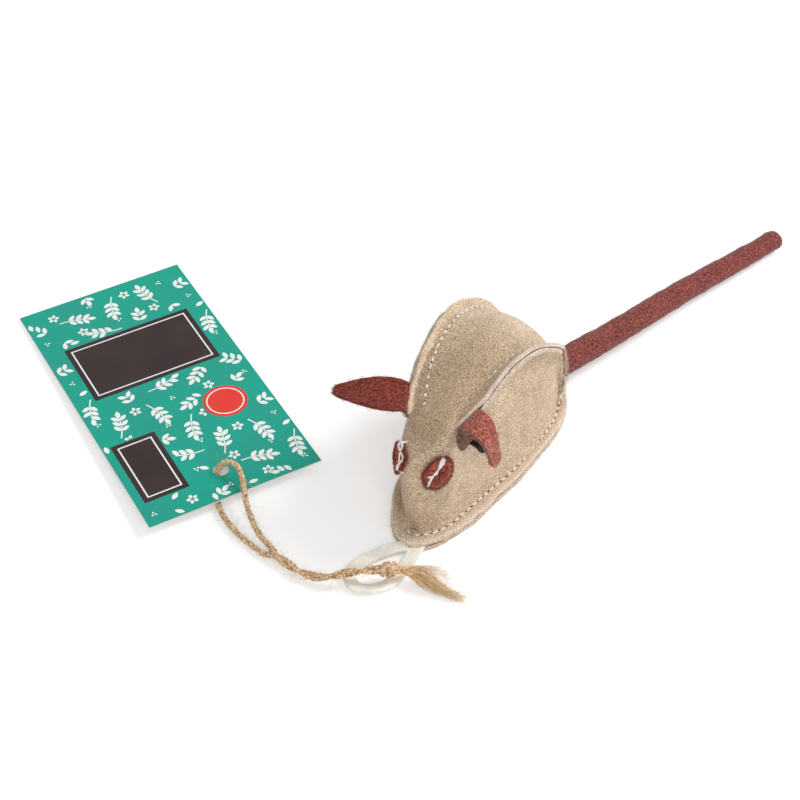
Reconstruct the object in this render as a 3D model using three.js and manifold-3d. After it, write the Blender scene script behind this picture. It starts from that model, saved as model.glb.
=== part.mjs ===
// A stuffed suede mouse toy, nose towards -Y and tail towards +Y, with a looped lace at its nose
// and a card tag tied to the lace with twine. Millimetres, +Z up, the mouse's own left is +X.
import * as THREE from "three";
import { mergeVertices } from "three/addons/utils/BufferGeometryUtils.js";
import Module from "manifold-3d";

const wasm = await Module();
wasm.setup();

// Suede, thread and the gaps between pieces
const suede = 1.3; // thickness of every suede piece
const touch = 0.3; // gap kept between pieces that touch
const overrun = 2; // how far a cutting solid reaches past what it cuts
const least_edge = 0.01; // shorter edges are closed up where pieces are cut
const thread_radius = 0.32;
const stitch_pitch = 2.5;
const stitch_rise = 0.25; // the top of a stitch stands this far above its holes

// Body: the outline along which the cover is sewn to the base, and the back above it
const nose_seam_y = 2.2; // where the outline starts
const sewn_length = 69.9;
const sewn_half_width = 13;
const back_height = 37; // top of the back above the rim
const flange_width = 5.2; // of the rim at the nose, where it is widest
const dart_flange = 3.6; // raw-edged flange of each dart seam, standing off the body
const dart_half_width = 15.1; // outer edges of the dart flanges from the middle
const dart_bury = 1; // how far a dart flange reaches into the cover
const raw_edge_round = 0.3;
const wall_bulge = 1.1; // how far the stuffing pushes each flank out
const body_bend_deg = 19.7; // the tail end turns to the mouse's left
const body_lean = -0.06; // the back leans to the mouse's right by this much of its height

// Ears and eyes
const ear_length = 20.5;
const ear_width = 11;
const eye_radius = 4.4;
const eye_out = 5.6; // middle of an eye from the middle of the head
const eye_back = 4.3; // behind the nose seam
const eye_up = 20.8; // above the rim
const eye_depth = 7; // of the solid that an eye is cut from
const eye_thread_radius = 0.4;

// Tail
const tail_length = 98;
const tail_root_radius = 4.5;
const tail_tip_radius = 3.15;
const tail_side = -0.7; // its root lies to the mouse's right of the middle
const tail_turn_deg = 21.8; // from straight back towards the mouse's left
const tail_swing_deg = 25; // each way
const tail_inset = 1.1; // middle of the rounded root, in from the rim's edge
const socket_gap = 0.6; // room round the tail's root

// Lace, twine and tag
const lace_width = 3.6;
const lace_thickness = 1.2;
const twine_radius = 0.85; // one strand
const pair_radius = 1.5; // two strands twisted together
const knot_length = 5.4;
const knot_radius = 2.4;
const frayed_radius = 1.9; // of a twine end where its fibres spread
const tag_width = 52.5;
const tag_length = 100;
const tag_thickness = 0.6;
const tag_rise = 2.5; // of the end with the hole, above the floor
const tag_clear = 0.05; // under the far end
const tag_turn_deg = 147.2; // direction of the tag's length, from +X
const hole_inset = 10.5; // middle of the hole, from the near end
const hole_radius = 2.3;
const hole_x = -58.3;
const hole_y = -3.8;

// Heights of the stack at the rim
const rim_bottom = suede + touch;
const rim_top = rim_bottom + suede;

const colours = {
  beige: 0xc4b090,
  red: 0x873e3a,
  white: 0xf2efe8,
  lace: 0xe9e2d6,
  jute: 0xbea06e,
  fibre: 0xe8e4da,
  card: 0x20ac96,
};

// The body is modelled straight and upright, then bent and leant
const bend = THREE.MathUtils.degToRad(body_bend_deg);
const bend_start_share = 0.4; // of the sewn length
const bend_start = bend_start_share * sewn_length;
const bend_radius = (sewn_length - bend_start) / bend;

function placed({ x, y, z }) {
  const turn = Math.max(0, y - bend_start) / bend_radius;
  const middle_x = bend_radius * (1 - Math.cos(turn));
  const middle_y = turn > 0 ? bend_start + bend_radius * Math.sin(turn) : y;
  const side = x + body_lean * (z - rim_top);
  return new THREE.Vector3(
    middle_x + side * Math.cos(turn),
    nose_seam_y + middle_y - side * Math.sin(turn),
    z,
  );
}

// A point given for the mouse's left goes to its own place on either side of the body
function onSide(point, side) {
  return placed(point.clone().setX(point.x * side));
}

// Mesh helpers
function geometryOf(points, triangles) {
  const geometry = new THREE.BufferGeometry().setFromPoints(points);
  geometry.setIndex(triangles);
  return geometry;
}

function solidOf(geometry) {
  const bare = geometry.clone();
  bare.deleteAttribute("normal");
  bare.deleteAttribute("uv");
  const merged = mergeVertices(bare, least_edge / 10);
  const index = merged.index.array;
  const kept = [];
  for (let i = 0; i < index.length; i += 3) {
    const [a, b, c] = index.subarray(i, i + 3);
    if (a !== b && b !== c && c !== a) kept.push(a, b, c);
  }
  return new wasm.Manifold(
    new wasm.Mesh({
      numProp: 3,
      vertProperties: merged.attributes.position.array,
      triVerts: new Uint32Array(kept),
    }),
  );
}

function geometryFrom(solid) {
  const mesh = solid.simplify(least_edge).getMesh();
  const positions = new THREE.BufferAttribute(new Float32Array(mesh.vertProperties), 3);
  const geometry = new THREE.BufferGeometry().setAttribute("position", positions);
  geometry.setIndex(new THREE.BufferAttribute(new Uint32Array(mesh.triVerts), 1));
  return geometry;
}

// Closed tube through rings that all have the same number of points, capped at both ends
function ringGeometry(rings) {
  const sides = rings[0].length;
  const last = (rings.length - 1) * sides;
  const points = rings.flat();
  const triangles = [];
  for (let start = 0; start < last; start += sides) {
    for (let j = 0; j < sides; j++) {
      const a = start + j;
      const b = start + ((j + 1) % sides);
      triangles.push(a, b, a + sides, b, b + sides, a + sides);
    }
  }
  for (const ring of [rings[0], rings.at(-1)]) {
    const middle = new THREE.Vector3();
    ring.forEach((point) => middle.addScaledVector(point, 1 / sides));
    points.push(middle);
  }
  for (let j = 0; j < sides; j++) {
    const next = (j + 1) % sides;
    triangles.push(next, j, last + sides);
    triangles.push(last + j, last + next, last + sides + 1);
  }
  return geometryOf(points, triangles);
}

// Closed sheet of even thickness round a grid of middle points
function sheetGeometry(grid, thickness) {
  const rows = grid.length;
  const columns = grid[0].length;
  const faces = [];
  for (let i = 0; i + 1 < rows; i++) {
    for (let j = 0; j + 1 < columns; j++) {
      const a = i * columns + j;
      faces.push(a, a + 1, a + columns, a + 1, a + columns + 1, a + columns);
    }
  }
  const middle = geometryOf(grid.flat(), faces);
  middle.computeVertexNormals();
  const normal = new THREE.Vector3();
  const shifted = (distance) =>
    grid.flat().map((point, i) => {
      normal.fromBufferAttribute(middle.attributes.normal, i);
      return point.clone().addScaledVector(normal, distance);
    });
  const count = rows * columns;
  const triangles = [...faces];
  for (let i = 0; i < faces.length; i += 3) {
    triangles.push(count + faces[i], count + faces[i + 2], count + faces[i + 1]);
  }
  const border = [];
  for (let j = 0; j < columns; j++) border.push(j);
  for (let i = 1; i < rows; i++) border.push(i * columns + columns - 1);
  for (let j = columns - 2; j >= 0; j--) border.push((rows - 1) * columns + j);
  for (let i = rows - 2; i > 0; i--) border.push(i * columns);
  border.forEach((a, i) => {
    const b = border[(i + 1) % border.length];
    triangles.push(b, a, count + a, b, count + a, count + b);
  });
  const points = [...shifted(thickness / 2), ...shifted(-thickness / 2)];
  return geometryOf(points, triangles);
}

function roundSection(radius, sides) {
  const corners = [];
  for (let i = 0; i < sides; i++) {
    const turn = (i / sides) * 2 * Math.PI;
    corners.push(new THREE.Vector2(radius * Math.cos(turn), radius * Math.sin(turn)));
  }
  return corners;
}

function flatSection(width, thickness) {
  const [x, y] = [thickness / 2, width / 2];
  const corners = [[-x, -y], [x, -y], [x, y], [-x, y]];
  return corners.map((corner) => new THREE.Vector2(...corner));
}

function tube(points, section, steps) {
  const path = new THREE.CatmullRomCurve3(points, false, "centripetal");
  return new THREE.ExtrudeGeometry(new THREE.Shape(section), {
    steps,
    extrudePath: path,
    bevelEnabled: false,
  });
}

// Thread along a seam: one unbroken tube that rises between the holes.
// seam gives the middle of the thread at a share of the seam, raised by a height.
function stitches(seam, length) {
  const count = Math.round(length / stitch_pitch);
  const points = [];
  for (let i = 0; i <= 2 * count; i++) {
    points.push(seam(i / (2 * count), i % 2 === 0 ? 0 : stitch_rise));
  }
  return tube(points, roundSection(thread_radius, 5), points.length - 1);
}

// The sewn outline from the nose seam to the tail end: shares of the sewn length and half width,
// and the flange as a share of its width at the nose
const outline_shares = [
  [0, 0, 1],
  [0.022, 0.208, 0.92],
  [0.046, 0.354, 0.78],
  [0.074, 0.438, 0.72],
  [0.106, 0.523, 0.72],
  [0.155, 0.562, 0.86],
  [0.2, 0.615, 0.88],
  [0.255, 0.692, 0.84],
  [0.326, 0.785, 0.77],
  [0.398, 0.892, 0.71],
  [0.469, 0.969, 0.68],
  [0.569, 1, 0.64],
  [0.655, 0.992, 0.62],
  [0.741, 0.954, 0.62],
  [0.827, 0.869, 0.62],
  [0.906, 0.692, 0.64],
  [0.956, 0.5, 0.66],
  [0.99, 0.25, 0.67],
  [1, 0, 0.67],
];
const outline_steps = 76;
const tail_flange = outline_shares.at(-1)[2] * flange_width;

function sewnOutline() {
  const left = outline_shares.map(
    ([along, across, flange]) =>
      new THREE.Vector3(
        across * sewn_half_width,
        along * sewn_length,
        flange * flange_width,
      ),
  );
  const right = left.slice(1, -1).map((point) => point.clone().setX(-point.x));
  const points = [...left, ...right.reverse()];
  const curve = new THREE.CatmullRomCurve3(points, true, "centripetal");
  return curve.getSpacedPoints(outline_steps).slice(0, -1);
}

const outline = sewnOutline();

function sewnHalfWidth(along) {
  const left = outline.filter((point) => point.x >= 0);
  const after = left.findIndex((point) => point.y >= along);
  if (after < 1) return 0;
  const [a, b] = [left[after - 1], left[after]];
  return THREE.MathUtils.mapLinear(along, a.y, b.y, a.x, b.x);
}

// The sewn outline moved outward by a share of the flange
function flangeOutline(share) {
  return outline.map((point, i) => {
    const before = outline.at(i - 1);
    const after = outline[(i + 1) % outline.length];
    const out = new THREE.Vector2(after.y - before.y, before.x - after.x);
    out.normalize().multiplyScalar(point.z * share);
    return placed(new THREE.Vector3(point.x + out.x, point.y + out.y, rim_top));
  });
}

// A layer of suede with the outline of the rim, lying flat at a height
function rimLayer(bottom) {
  const corners = flangeOutline(1).map(({ x, y }) => new THREE.Vector2(x, y));
  const layer = new THREE.ExtrudeGeometry(new THREE.Shape(corners), {
    depth: suede,
    bevelEnabled: false,
  });
  return layer.translate(0, 0, bottom);
}

// Outer edge of a dart flange: shares of the sewn length, of the half width over both flanges
// and of the back's height
const dart_shares = [
  [0.169, 0.53, 0.805],
  [0.255, 0.642, 0.852],
  [0.355, 0.755, 0.908],
  [0.455, 0.828, 0.968],
  [0.569, 0.907, 1],
  [0.684, 0.967, 0.97],
  [0.784, 1, 0.876],
  [0.87, 0.94, 0.724],
  [0.936, 0.785, 0.424],
  [0.97, 0.57, 0.035],
];
const dartCurve = new THREE.CatmullRomCurve3(
  dart_shares.map(
    ([along, across, up]) =>
      new THREE.Vector3(
        across * dart_half_width,
        along * sewn_length,
        rim_top + up * back_height,
      ),
  ),
  false,
  "centripetal",
);

// The dart seam on the mouse's left at a share of its length: the root and outer edge of its
// flange, and the ways along the seam, off the body and across the two layers to the flank
function dartFrame(share) {
  const edge = dartCurve.getPointAt(share);
  const along = dartCurve.getTangentAt(share);
  const off_flank = new THREE.Vector3(1, 0, 0);
  const off_back = new THREE.Vector3(0, -along.z, along.y).normalize();
  const out = off_flank.add(off_back);
  out.addScaledVector(along, -out.dot(along)).normalize();
  const across = new THREE.Vector3().crossVectors(along, out);
  const root = edge.clone().addScaledVector(out, -dart_flange);
  return { edge, root, along, out, across };
}

// One row of the cover's outside for each line: where it leaves the sewn outline, where it
// crosses the middle of the back and how high, and its place on the dart seam.
// The rows before the seam make the head, squarer and wider upwards towards the ears, and the
// next two blend into the body.
const cover_row_shares = [
  { rim: 0, top: 0, up: 0, power: 2.4, wider: 0 },
  { rim: 0.004, top: -0.002, up: 0.165, power: 2.4, wider: 0.1 },
  { rim: 0.013, top: -0.001, up: 0.314, power: 2.4, wider: 0.15 },
  { rim: 0.029, top: 0.008, up: 0.462, power: 2.6, wider: 0.2 },
  { rim: 0.049, top: 0.026, up: 0.58, power: 2.8, wider: 0.22 },
  { rim: 0.074, top: 0.058, up: 0.678, power: 3.2, wider: 0.22 },
  { rim: 0.109, top: 0.102, up: 0.754, power: 3.8, wider: 0.2 },
  { rim: 0.146, top: 0.144, up: 0.803, power: 4.8, wider: 0.18 },
  { rim: 0.183, top: 0.183, up: 0.84, power: 6, wider: 0.16, seam: 0, body: 0.25 },
  { rim: 0.226, top: 0.226, up: 0.87, power: 6, wider: 0.12, seam: 0.045, body: 0.7 },
  { rim: 0.276, top: 0.276, up: 0.9, seam: 0.09, body: 1 },
  { rim: 0.326, top: 0.326, up: 0.927, seam: 0.135, body: 1 },
  { rim: 0.383, top: 0.383, up: 0.951, seam: 0.18, body: 1 },
  { rim: 0.441, top: 0.441, up: 0.973, seam: 0.23, body: 1 },
  { rim: 0.498, top: 0.498, up: 0.989, seam: 0.28, body: 1 },
  { rim: 0.555, top: 0.555, up: 1, seam: 0.33, body: 1 },
  { rim: 0.612, top: 0.612, up: 1, seam: 0.38, body: 1 },
  { rim: 0.67, top: 0.67, up: 0.986, seam: 0.43, body: 1 },
  { rim: 0.727, top: 0.727, up: 0.954, seam: 0.485, body: 1 },
  { rim: 0.777, top: 0.78, up: 0.908, seam: 0.535, body: 1 },
  { rim: 0.82, top: 0.827, up: 0.846, seam: 0.58, body: 1 },
  { rim: 0.856, top: 0.87, up: 0.765, seam: 0.625, body: 1 },
  { rim: 0.884, top: 0.91, up: 0.662, seam: 0.68, body: 1 },
  { rim: 0.91, top: 0.944, up: 0.53, seam: 0.745, body: 1 },
  { rim: 0.93, top: 0.973, up: 0.368, seam: 0.82, body: 1 },
  { rim: 0.947, top: 0.993, up: 0.178, seam: 0.9, body: 1 },
  { rim: 0.958, top: 1, up: 0, seam: 1, body: 1 },
];
const wall_steps = 6;
const back_steps = 4;
const head_wall_share = 0.62; // of the quarter turn from rim to top that the flank takes

// Half width of a head row at a share of its height, as a share of that at the rim.
// A power of 2 makes an ellipse, and higher ones squarer sections.
function headHalfWidth(rise, { power = 2, wider = 0 }) {
  return (1 - rise ** power) ** (1 / power) * (1 + wider * rise);
}

// Half of one row, on the mouse's left, from the rim to the middle of the back
function halfRow(row) {
  const along = row.rim * sewn_length;
  const rim = new THREE.Vector3(sewnHalfWidth(along), along, rim_top);
  const top_y = row.top * sewn_length;
  const top_z = rim_top + row.up * back_height;
  const root = row.body ? dartFrame(row.seam).root : rim;
  const points = [];
  for (let i = 0; i <= wall_steps + back_steps; i++) {
    const wall = Math.min(1, i / wall_steps);
    const back = Math.max(0, (i - wall_steps) / back_steps);
    const turn = wall * head_wall_share + back * (1 - head_wall_share);
    const rise = Math.sin((turn * Math.PI) / 2);
    const head = new THREE.Vector3(
      rim.x * headHalfWidth(rise, row),
      THREE.MathUtils.lerp(rim.y, top_y, rise),
      THREE.MathUtils.lerp(rim.z, top_z, rise),
    );
    const arch = 1 - (1 - back) ** 2;
    const flank = rim.clone().lerp(root, wall);
    const tall = Math.min(1, (root.z - rim.z) / sewn_half_width);
    flank.x += wall_bulge * tall * 4 * wall * (1 - wall);
    const body = new THREE.Vector3(
      flank.x * (1 - back),
      THREE.MathUtils.lerp(flank.y, top_y, arch),
      THREE.MathUtils.lerp(flank.z, top_z, arch),
    );
    points.push(head.lerp(body, row.body ?? 0));
  }
  points.at(-1).x = 0;
  return points;
}

// The straight body's outside with its normals, in rows from the left rim to the right one
function coverSurface() {
  const rows = cover_row_shares.map((row) => {
    const half = halfRow(row);
    const mirrored = half.slice(0, -1).map((point) => point.clone().setX(-point.x));
    return [...half, ...mirrored.reverse()];
  });
  const columns = rows[0].length;
  const points = [rows[0][0], ...rows.slice(1).flat()];
  const at = (i, j) => (i === 0 ? 0 : 1 + (i - 1) * columns + j);
  const triangles = [];
  for (let i = 0; i + 1 < rows.length; i++) {
    for (let j = 0; j + 1 < columns; j++) {
      if (i > 0) triangles.push(at(i, j), at(i + 1, j), at(i, j + 1));
      triangles.push(at(i, j + 1), at(i + 1, j), at(i + 1, j + 1));
    }
  }
  const border = [0];
  for (let i = 1; i < rows.length; i++) border.push(at(i, 0));
  for (let j = 1; j < columns; j++) border.push(at(rows.length - 1, j));
  for (let i = rows.length - 2; i > 0; i--) border.push(at(i, columns - 1));
  const surface = geometryOf(points, triangles);
  surface.computeVertexNormals();
  return { points, triangles, border, normals: surface.attributes.normal };
}

const cover_surface = coverSurface();
const least_width_share = 0.15; // of its own half width, where an inset would cross the middle

// The body's solid a distance inside the cover's outside, down to a flat bottom
function bodySolid(inset, bottom) {
  const { points, triangles, border, normals } = cover_surface;
  const normal = new THREE.Vector3();
  const moved = points.map((point, i) => {
    normal.fromBufferAttribute(normals, i);
    const inner = point.clone().addScaledVector(normal, -inset);
    const least = Math.abs(point.x) * least_width_share;
    inner.x = Math.sign(point.x) * Math.max(least, inner.x * Math.sign(point.x));
    return inner;
  });
  const first_foot = moved.length;
  const middle = new THREE.Vector3(0, 0, bottom);
  for (const i of border) {
    moved.push(moved[i].clone().setZ(bottom));
    middle.y += moved[i].y / border.length;
  }
  moved.push(middle);
  const faces = [...triangles];
  border.forEach((a, i) => {
    const next = (i + 1) % border.length;
    const [foot, next_foot] = [first_foot + i, first_foot + next];
    faces.push(a, foot, border[next], border[next], foot, next_foot);
    faces.push(foot, moved.length - 1, next_foot);
  });
  return solidOf(geometryOf(moved.map(placed), faces));
}

// Dart flange: two layers of suede standing along the seam, their raw edges a little apart
const dart_steps = 30;
const dart_start_share = 0.6; // of its full width, where the flange starts at the ear
const dart_full_share = 0.06; // of the seam, where it has its full width
const layer_gap_share = 0.18; // of one layer, half the opening between the raw edges

function dartFlange(side) {
  const rings = [];
  for (let i = 0; i <= dart_steps; i++) {
    const { root, out, across } = dartFrame(i / dart_steps);
    const grown = Math.min(1, i / dart_steps / dart_full_share);
    const width = dart_flange * THREE.MathUtils.lerp(dart_start_share, 1, grown);
    const opening = layer_gap_share * suede;
    const section = [
      [-dart_bury, -suede],
      [width - raw_edge_round, -suede],
      [width, raw_edge_round - suede],
      [width, -opening],
      [width - suede / 2, 0],
      [width, opening],
      [width, suede - raw_edge_round],
      [width - raw_edge_round, suede],
      [-dart_bury, suede],
    ];
    const ring = section.map(([off, aside]) =>
      root.clone().addScaledVector(out, off).addScaledVector(across, aside),
    );
    rings.push(ring.map((point) => onSide(point, side)));
  }
  if (side < 0) rings.forEach((ring) => ring.reverse());
  return solidOf(ringGeometry(rings));
}

const dart_thread_start_share = 0.07; // of the seam
const dart_thread_end_share = 0.93;

function dartThread(side) {
  const seam = (share, rise) => {
    const start = dart_thread_start_share;
    const at = THREE.MathUtils.lerp(start, dart_thread_end_share, share);
    const { root, out, across } = dartFrame(at);
    const height = suede + touch + thread_radius + rise;
    const point = root.addScaledVector(out, 2 * thread_radius);
    return onSide(point.addScaledVector(across, -height), side);
  };
  const run = dart_thread_end_share - dart_thread_start_share;
  return stitches(seam, dartCurve.getLength() * run);
}

// Tail: a lathed form from its rounded root, laid along its own direction
const tail_middle = placed(
  new THREE.Vector3(tail_side, sewn_length + tail_flange - tail_inset, rim_top),
);
tail_middle.z = rim_bottom + tail_root_radius;
const tail_drop = tail_middle.z - tail_tip_radius - touch / 2;
const tail_pitch = Math.asin(tail_drop / tail_length);
const tail_round_share = 0.35; // of the tip's radius

function tailGeometry(extra, swing_deg, length) {
  const turn = THREE.MathUtils.degToRad(tail_turn_deg - swing_deg);
  const direction = new THREE.Vector3(
    Math.sin(turn) * Math.cos(tail_pitch),
    Math.cos(turn) * Math.cos(tail_pitch),
    -Math.sin(tail_pitch),
  );
  const root = tail_root_radius + extra;
  const tip = tail_tip_radius + extra;
  const round = tail_tip_radius * tail_round_share;
  const profile = new THREE.Path();
  profile.moveTo(0, -root);
  profile.absarc(0, 0, root, -Math.PI / 2, 0, false);
  profile.lineTo(tip, length - round);
  profile.absarc(tip - round, length - round, round, 0, Math.PI / 2, false);
  profile.lineTo(0, length);
  const points = profile.getPoints(2);
  points[0].x = 0;
  const laid = new THREE.Quaternion().setFromUnitVectors(
    new THREE.Vector3(0, 1, 0),
    direction,
  );
  return new THREE.LatheGeometry(points, 14)
    .applyQuaternion(laid)
    .translate(...tail_middle);
}

// Everything that the tail's root passes through as it swings
function tailRoom() {
  const swings = [-1, -0.5, 0, 0.5, 1].map((share) => share * tail_swing_deg);
  const reach = tail_root_radius * 3;
  return wasm.Manifold.union(
    swings.map((swing) => solidOf(tailGeometry(socket_gap, swing, reach))),
  );
}

const tail_room = tailRoom();

function coverGeometry() {
  const outside = bodySolid(0, rim_bottom).add(solidOf(rimLayer(rim_bottom)));
  const sewn = outside.add(dartFlange(1)).add(dartFlange(-1));
  const inside = bodySolid(suede, rim_bottom - overrun);
  return geometryFrom(sewn.subtract(inside).subtract(tail_room));
}

function stuffingGeometry() {
  return geometryFrom(bodySolid(suede + touch, rim_bottom).subtract(tail_room));
}

// The rim's thread runs round the nose from one side of the tail to the other
const rim_thread_share = 0.3; // of the flange, from the foot of the wall

function rimThread() {
  const line = flangeOutline(rim_thread_share);
  const rear = Math.round(line.length / 2);
  const turned = [...line.slice(rear), ...line.slice(0, rear)];
  const height = rim_top + touch + thread_radius;
  const room = tail_root_radius + socket_gap + 4 * thread_radius;
  const middle = new THREE.Vector2(tail_middle.x, tail_middle.y);
  const run = turned.filter(({ x, y }) => middle.distanceTo({ x, y }) > room);
  const path = new THREE.CatmullRomCurve3(run, false, "centripetal");
  const seam = (share, rise) => path.getPointAt(share).setZ(height + rise);
  return stitches(seam, path.getLength());
}

// Eyes: suede discs that follow the head, each held by one thread across it
const eye_facing = new THREE.Vector3(0.746, -0.504, 0.434).normalize();
const eye_thread_turn_deg = { left: 47, right: 36 }; // up from level, towards the back

function eyeFrame(side) {
  const middle = new THREE.Vector3(eye_out, eye_back, rim_top + eye_up);
  const facing = eye_facing.clone().setX(eye_facing.x * side);
  const level = new THREE.Vector3(0, 0, side).cross(facing).normalize();
  const up = new THREE.Vector3().crossVectors(facing, level).multiplyScalar(side);
  return { middle: onSide(middle, side), facing, level, up };
}

function eyeGeometry(side) {
  const { middle, facing } = eyeFrame(side);
  const turned = new THREE.Quaternion().setFromUnitVectors(
    new THREE.Vector3(0, 1, 0),
    facing,
  );
  const column = new THREE.CylinderGeometry(eye_radius, eye_radius, eye_depth, 24);
  column.applyQuaternion(turned).translate(...middle);
  const outside = bodySolid(-touch - suede, rim_bottom);
  const inside = bodySolid(-touch, rim_bottom);
  return geometryFrom(solidOf(column).intersect(outside).subtract(inside));
}

// Where a line through the head meets a surface this far outside the cover
function overHead(point, facing, height) {
  const surface = geometryFrom(bodySolid(-height, rim_bottom));
  const start = point.clone().addScaledVector(facing, eye_depth * overrun);
  const ray = new THREE.Raycaster(start, facing.clone().negate());
  return ray.intersectObject(new THREE.Mesh(surface))[0].point;
}

const eye_thread_shares = [-1.2, -1.075, -0.5, 0, 0.5, 1.075, 1.2]; // of the eye's radius
const eye_edge_share = 1.1; // past this the thread is down on the cover

function eyeThread(side, turn_deg) {
  const { middle, facing, level, up } = eyeFrame(side);
  const turn = THREE.MathUtils.degToRad(turn_deg);
  const points = eye_thread_shares.map((share) => {
    const reach = share * eye_radius;
    const point = middle.clone().addScaledVector(level, reach * Math.cos(turn));
    point.addScaledVector(up, reach * Math.sin(turn));
    const on_eye = Math.abs(share) < eye_edge_share;
    const height = touch + eye_thread_radius + (on_eye ? suede + touch : 0);
    return overHead(point, facing, height);
  });
  return tube(points, roundSection(eye_thread_radius, 6), 18);
}

// Ears: leaves of suede, sewn in at the front end of each dart. Each line is a share of the
// ear's length, its width there and how far that is shifted, both as shares of its width.
const ear_outline_shares = [
  [0, 0.86, 0],
  [0.1, 0.95, -0.02],
  [0.24, 0.97, -0.05],
  [0.4, 0.9, -0.07],
  [0.56, 0.76, -0.09],
  [0.72, 0.57, -0.11],
  [0.86, 0.37, -0.12],
  [0.95, 0.22, -0.12],
  [1, 0.1, -0.12],
];
const ear_root_start_share = 0; // of the dart seam
const ear_root_end_share = 0.11;
const ear_columns = 8;
const ear_curl_full_share = 0.3; // of the ear's length, where its front has its whole curl

// A leaf bends from root_deg to tip_deg, both measured from the dart flange, over bend_share of
// its length. curl_share of its width curls under by curl_deg at the front, and forward_share
// of its width is how far the curl pulls it forward.
const left_ear = {
  side: 1,
  root_deg: 10,
  tip_deg: 136,
  bend_share: 0.5,
  curl_deg: 190,
  curl_share: 0.55,
  forward_share: 0.14,
};
const right_ear = {
  side: -1,
  root_deg: 30,
  tip_deg: 54,
  bend_share: 1,
  curl_deg: -12,
  curl_share: 1,
  forward_share: 0,
};

function earHinge() {
  const front = dartFrame(ear_root_start_share);
  const back = dartFrame(ear_root_end_share);
  const across = back.edge.clone().sub(front.edge).normalize();
  const out = front.out.clone().add(back.out);
  out.addScaledVector(across, -out.dot(across)).normalize();
  const down = new THREE.Vector3().crossVectors(across, out);
  const middle = front.edge.clone().lerp(back.edge, 1 / 2);
  middle.addScaledVector(out, touch + suede / 2);
  return { middle, across, out, down };
}

function earGeometry(ear) {
  const { side, root_deg, tip_deg, bend_share, curl_deg, curl_share } = ear;
  const { middle, across, out, down } = earHinge();
  const angle = (share) => {
    const bent = Math.min(1, share / bend_share);
    return THREE.MathUtils.degToRad(THREE.MathUtils.lerp(root_deg, tip_deg, bent));
  };
  const grid = [];
  let before = 0;
  for (const [along, width_share, shift_share] of ear_outline_shares) {
    const turn = angle((along + before) / 2);
    const step = (along - before) * ear_length;
    middle.addScaledVector(out, step * Math.cos(turn));
    middle.addScaledVector(down, step * Math.sin(turn));
    before = along;
    const under = out.clone().multiplyScalar(-Math.sin(angle(along)));
    under.addScaledVector(down, Math.cos(angle(along)));
    const curled = Math.min(1, along / ear_curl_full_share);
    const curl = curl_deg * curled;
    const shift = (shift_share - ear.forward_share * curled) * ear_width;
    const centre = middle.clone().addScaledVector(across, shift);
    const row = earRow(centre, across, under, width_share * ear_width, curl, curl_share);
    grid.push(row.map((point) => onSide(point, side)));
  }
  return sheetGeometry(grid, suede);
}

// One row of an ear from its back edge to its front
function earRow(centre, across, under, width, curl_deg, curl_share) {
  const curl = THREE.MathUtils.degToRad(curl_deg);
  const step = width / ear_columns;
  const point = centre.clone().addScaledVector(across, width / 2);
  const row = [point.clone()];
  for (let j = 1; j <= ear_columns; j++) {
    const share = (j - 1 / 2) / ear_columns;
    const turn = curl * Math.max(0, (share - 1 + curl_share) / curl_share);
    point.addScaledVector(across, -step * Math.cos(turn));
    point.addScaledVector(under, step * Math.sin(turn));
    row.push(point.clone());
  }
  return row;
}

// Lace, looped in front of the nose with both ends at the rim
const lace_points = [
  [-1, -3.8, 1.3],
  [-2.3, -4.9, 1.2],
  [-4.3, -7.2, 1],
  [-6.4, -10.2, 0.8],
  [-8.2, -13.6, 0.7],
  [-8.8, -16.8, 0.7],
  [-7.8, -19.7, 0.7],
  [-5.2, -21.4, 0.7],
  [-2.4, -20.7, 0.7],
  [0.2, -18.8, 0.7],
  [2.1, -16.1, 0.7],
  [2.9, -12.8, 0.7],
  [3, -9, 0.9],
  [3, -5.4, 1.2],
  [3, -2.7, 1.3],
];

// Twine: one strand through the tag's hole, both strands twisted together, their knot and ends
const loop_points = [
  [-32.4, -23.2, 1],
  [-36.3, -22.3, 0.9],
  [-42.9, -20.2, 0.9],
  [-48.8, -17.2, 0.9],
  [-53.4, -13.4, 0.9],
  [-56.6, -9.2, 0.9],
  [-58.4, -6.1, 1.2],
  [-59, -4.4, 2.3],
  [-58.7, -3.5, 3.8],
  [-57.6, -2.7, 5.2],
  [-55.6, -2.5, 6],
  [-53, -3.1, 6.2],
  [-49.4, -6.3, 5.2],
  [-45.3, -11.4, 3.6],
  [-40.7, -15.7, 2.4],
  [-36, -18.9, 1.7],
  [-32.5, -20.4, 1.6],
];
const pair_points = [
  [-31.6, -21.8, 1.7],
  [-27.6, -23, 1.7],
  [-20.6, -24.4, 1.7],
  [-16, -24.3, 2],
  [-12.4, -23.2, 2.8],
  [-9.5, -21.5, 3.6],
  [-7.3, -19.9, 4],
  [-4.6, -18.2, 4.2],
  [-1.9, -16.2, 4.2],
];
const knot_from = [-1.3, -15.7, 4.2];
const knot_to = [3.6, -13, 4.1];
const long_end_points = [
  [4.1, -12.9, 4],
  [6.6, -12, 3.3],
  [10, -11.5, 2.3],
  [14.4, -11.8, 1.5],
  [18.5, -11.7, 1.1],
  [22.8, -11.3, 0.9],
];
const short_end_points = [
  [2.6, -10.8, 4.6],
  [5.3, -8.8, 4.2],
  [8.6, -7.6, 3.2],
  [12.2, -6.9, 2.4],
  [15.3, -7, 2],
];

function vectors(points) {
  return points.map((point) => new THREE.Vector3(...point));
}

// How far a twine end has spread from its strand's thickness to its widest, along its length
const frayed_shares = [0, 0.15, 0.7, 1, 0.9, 0.65, 0.3];

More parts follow.
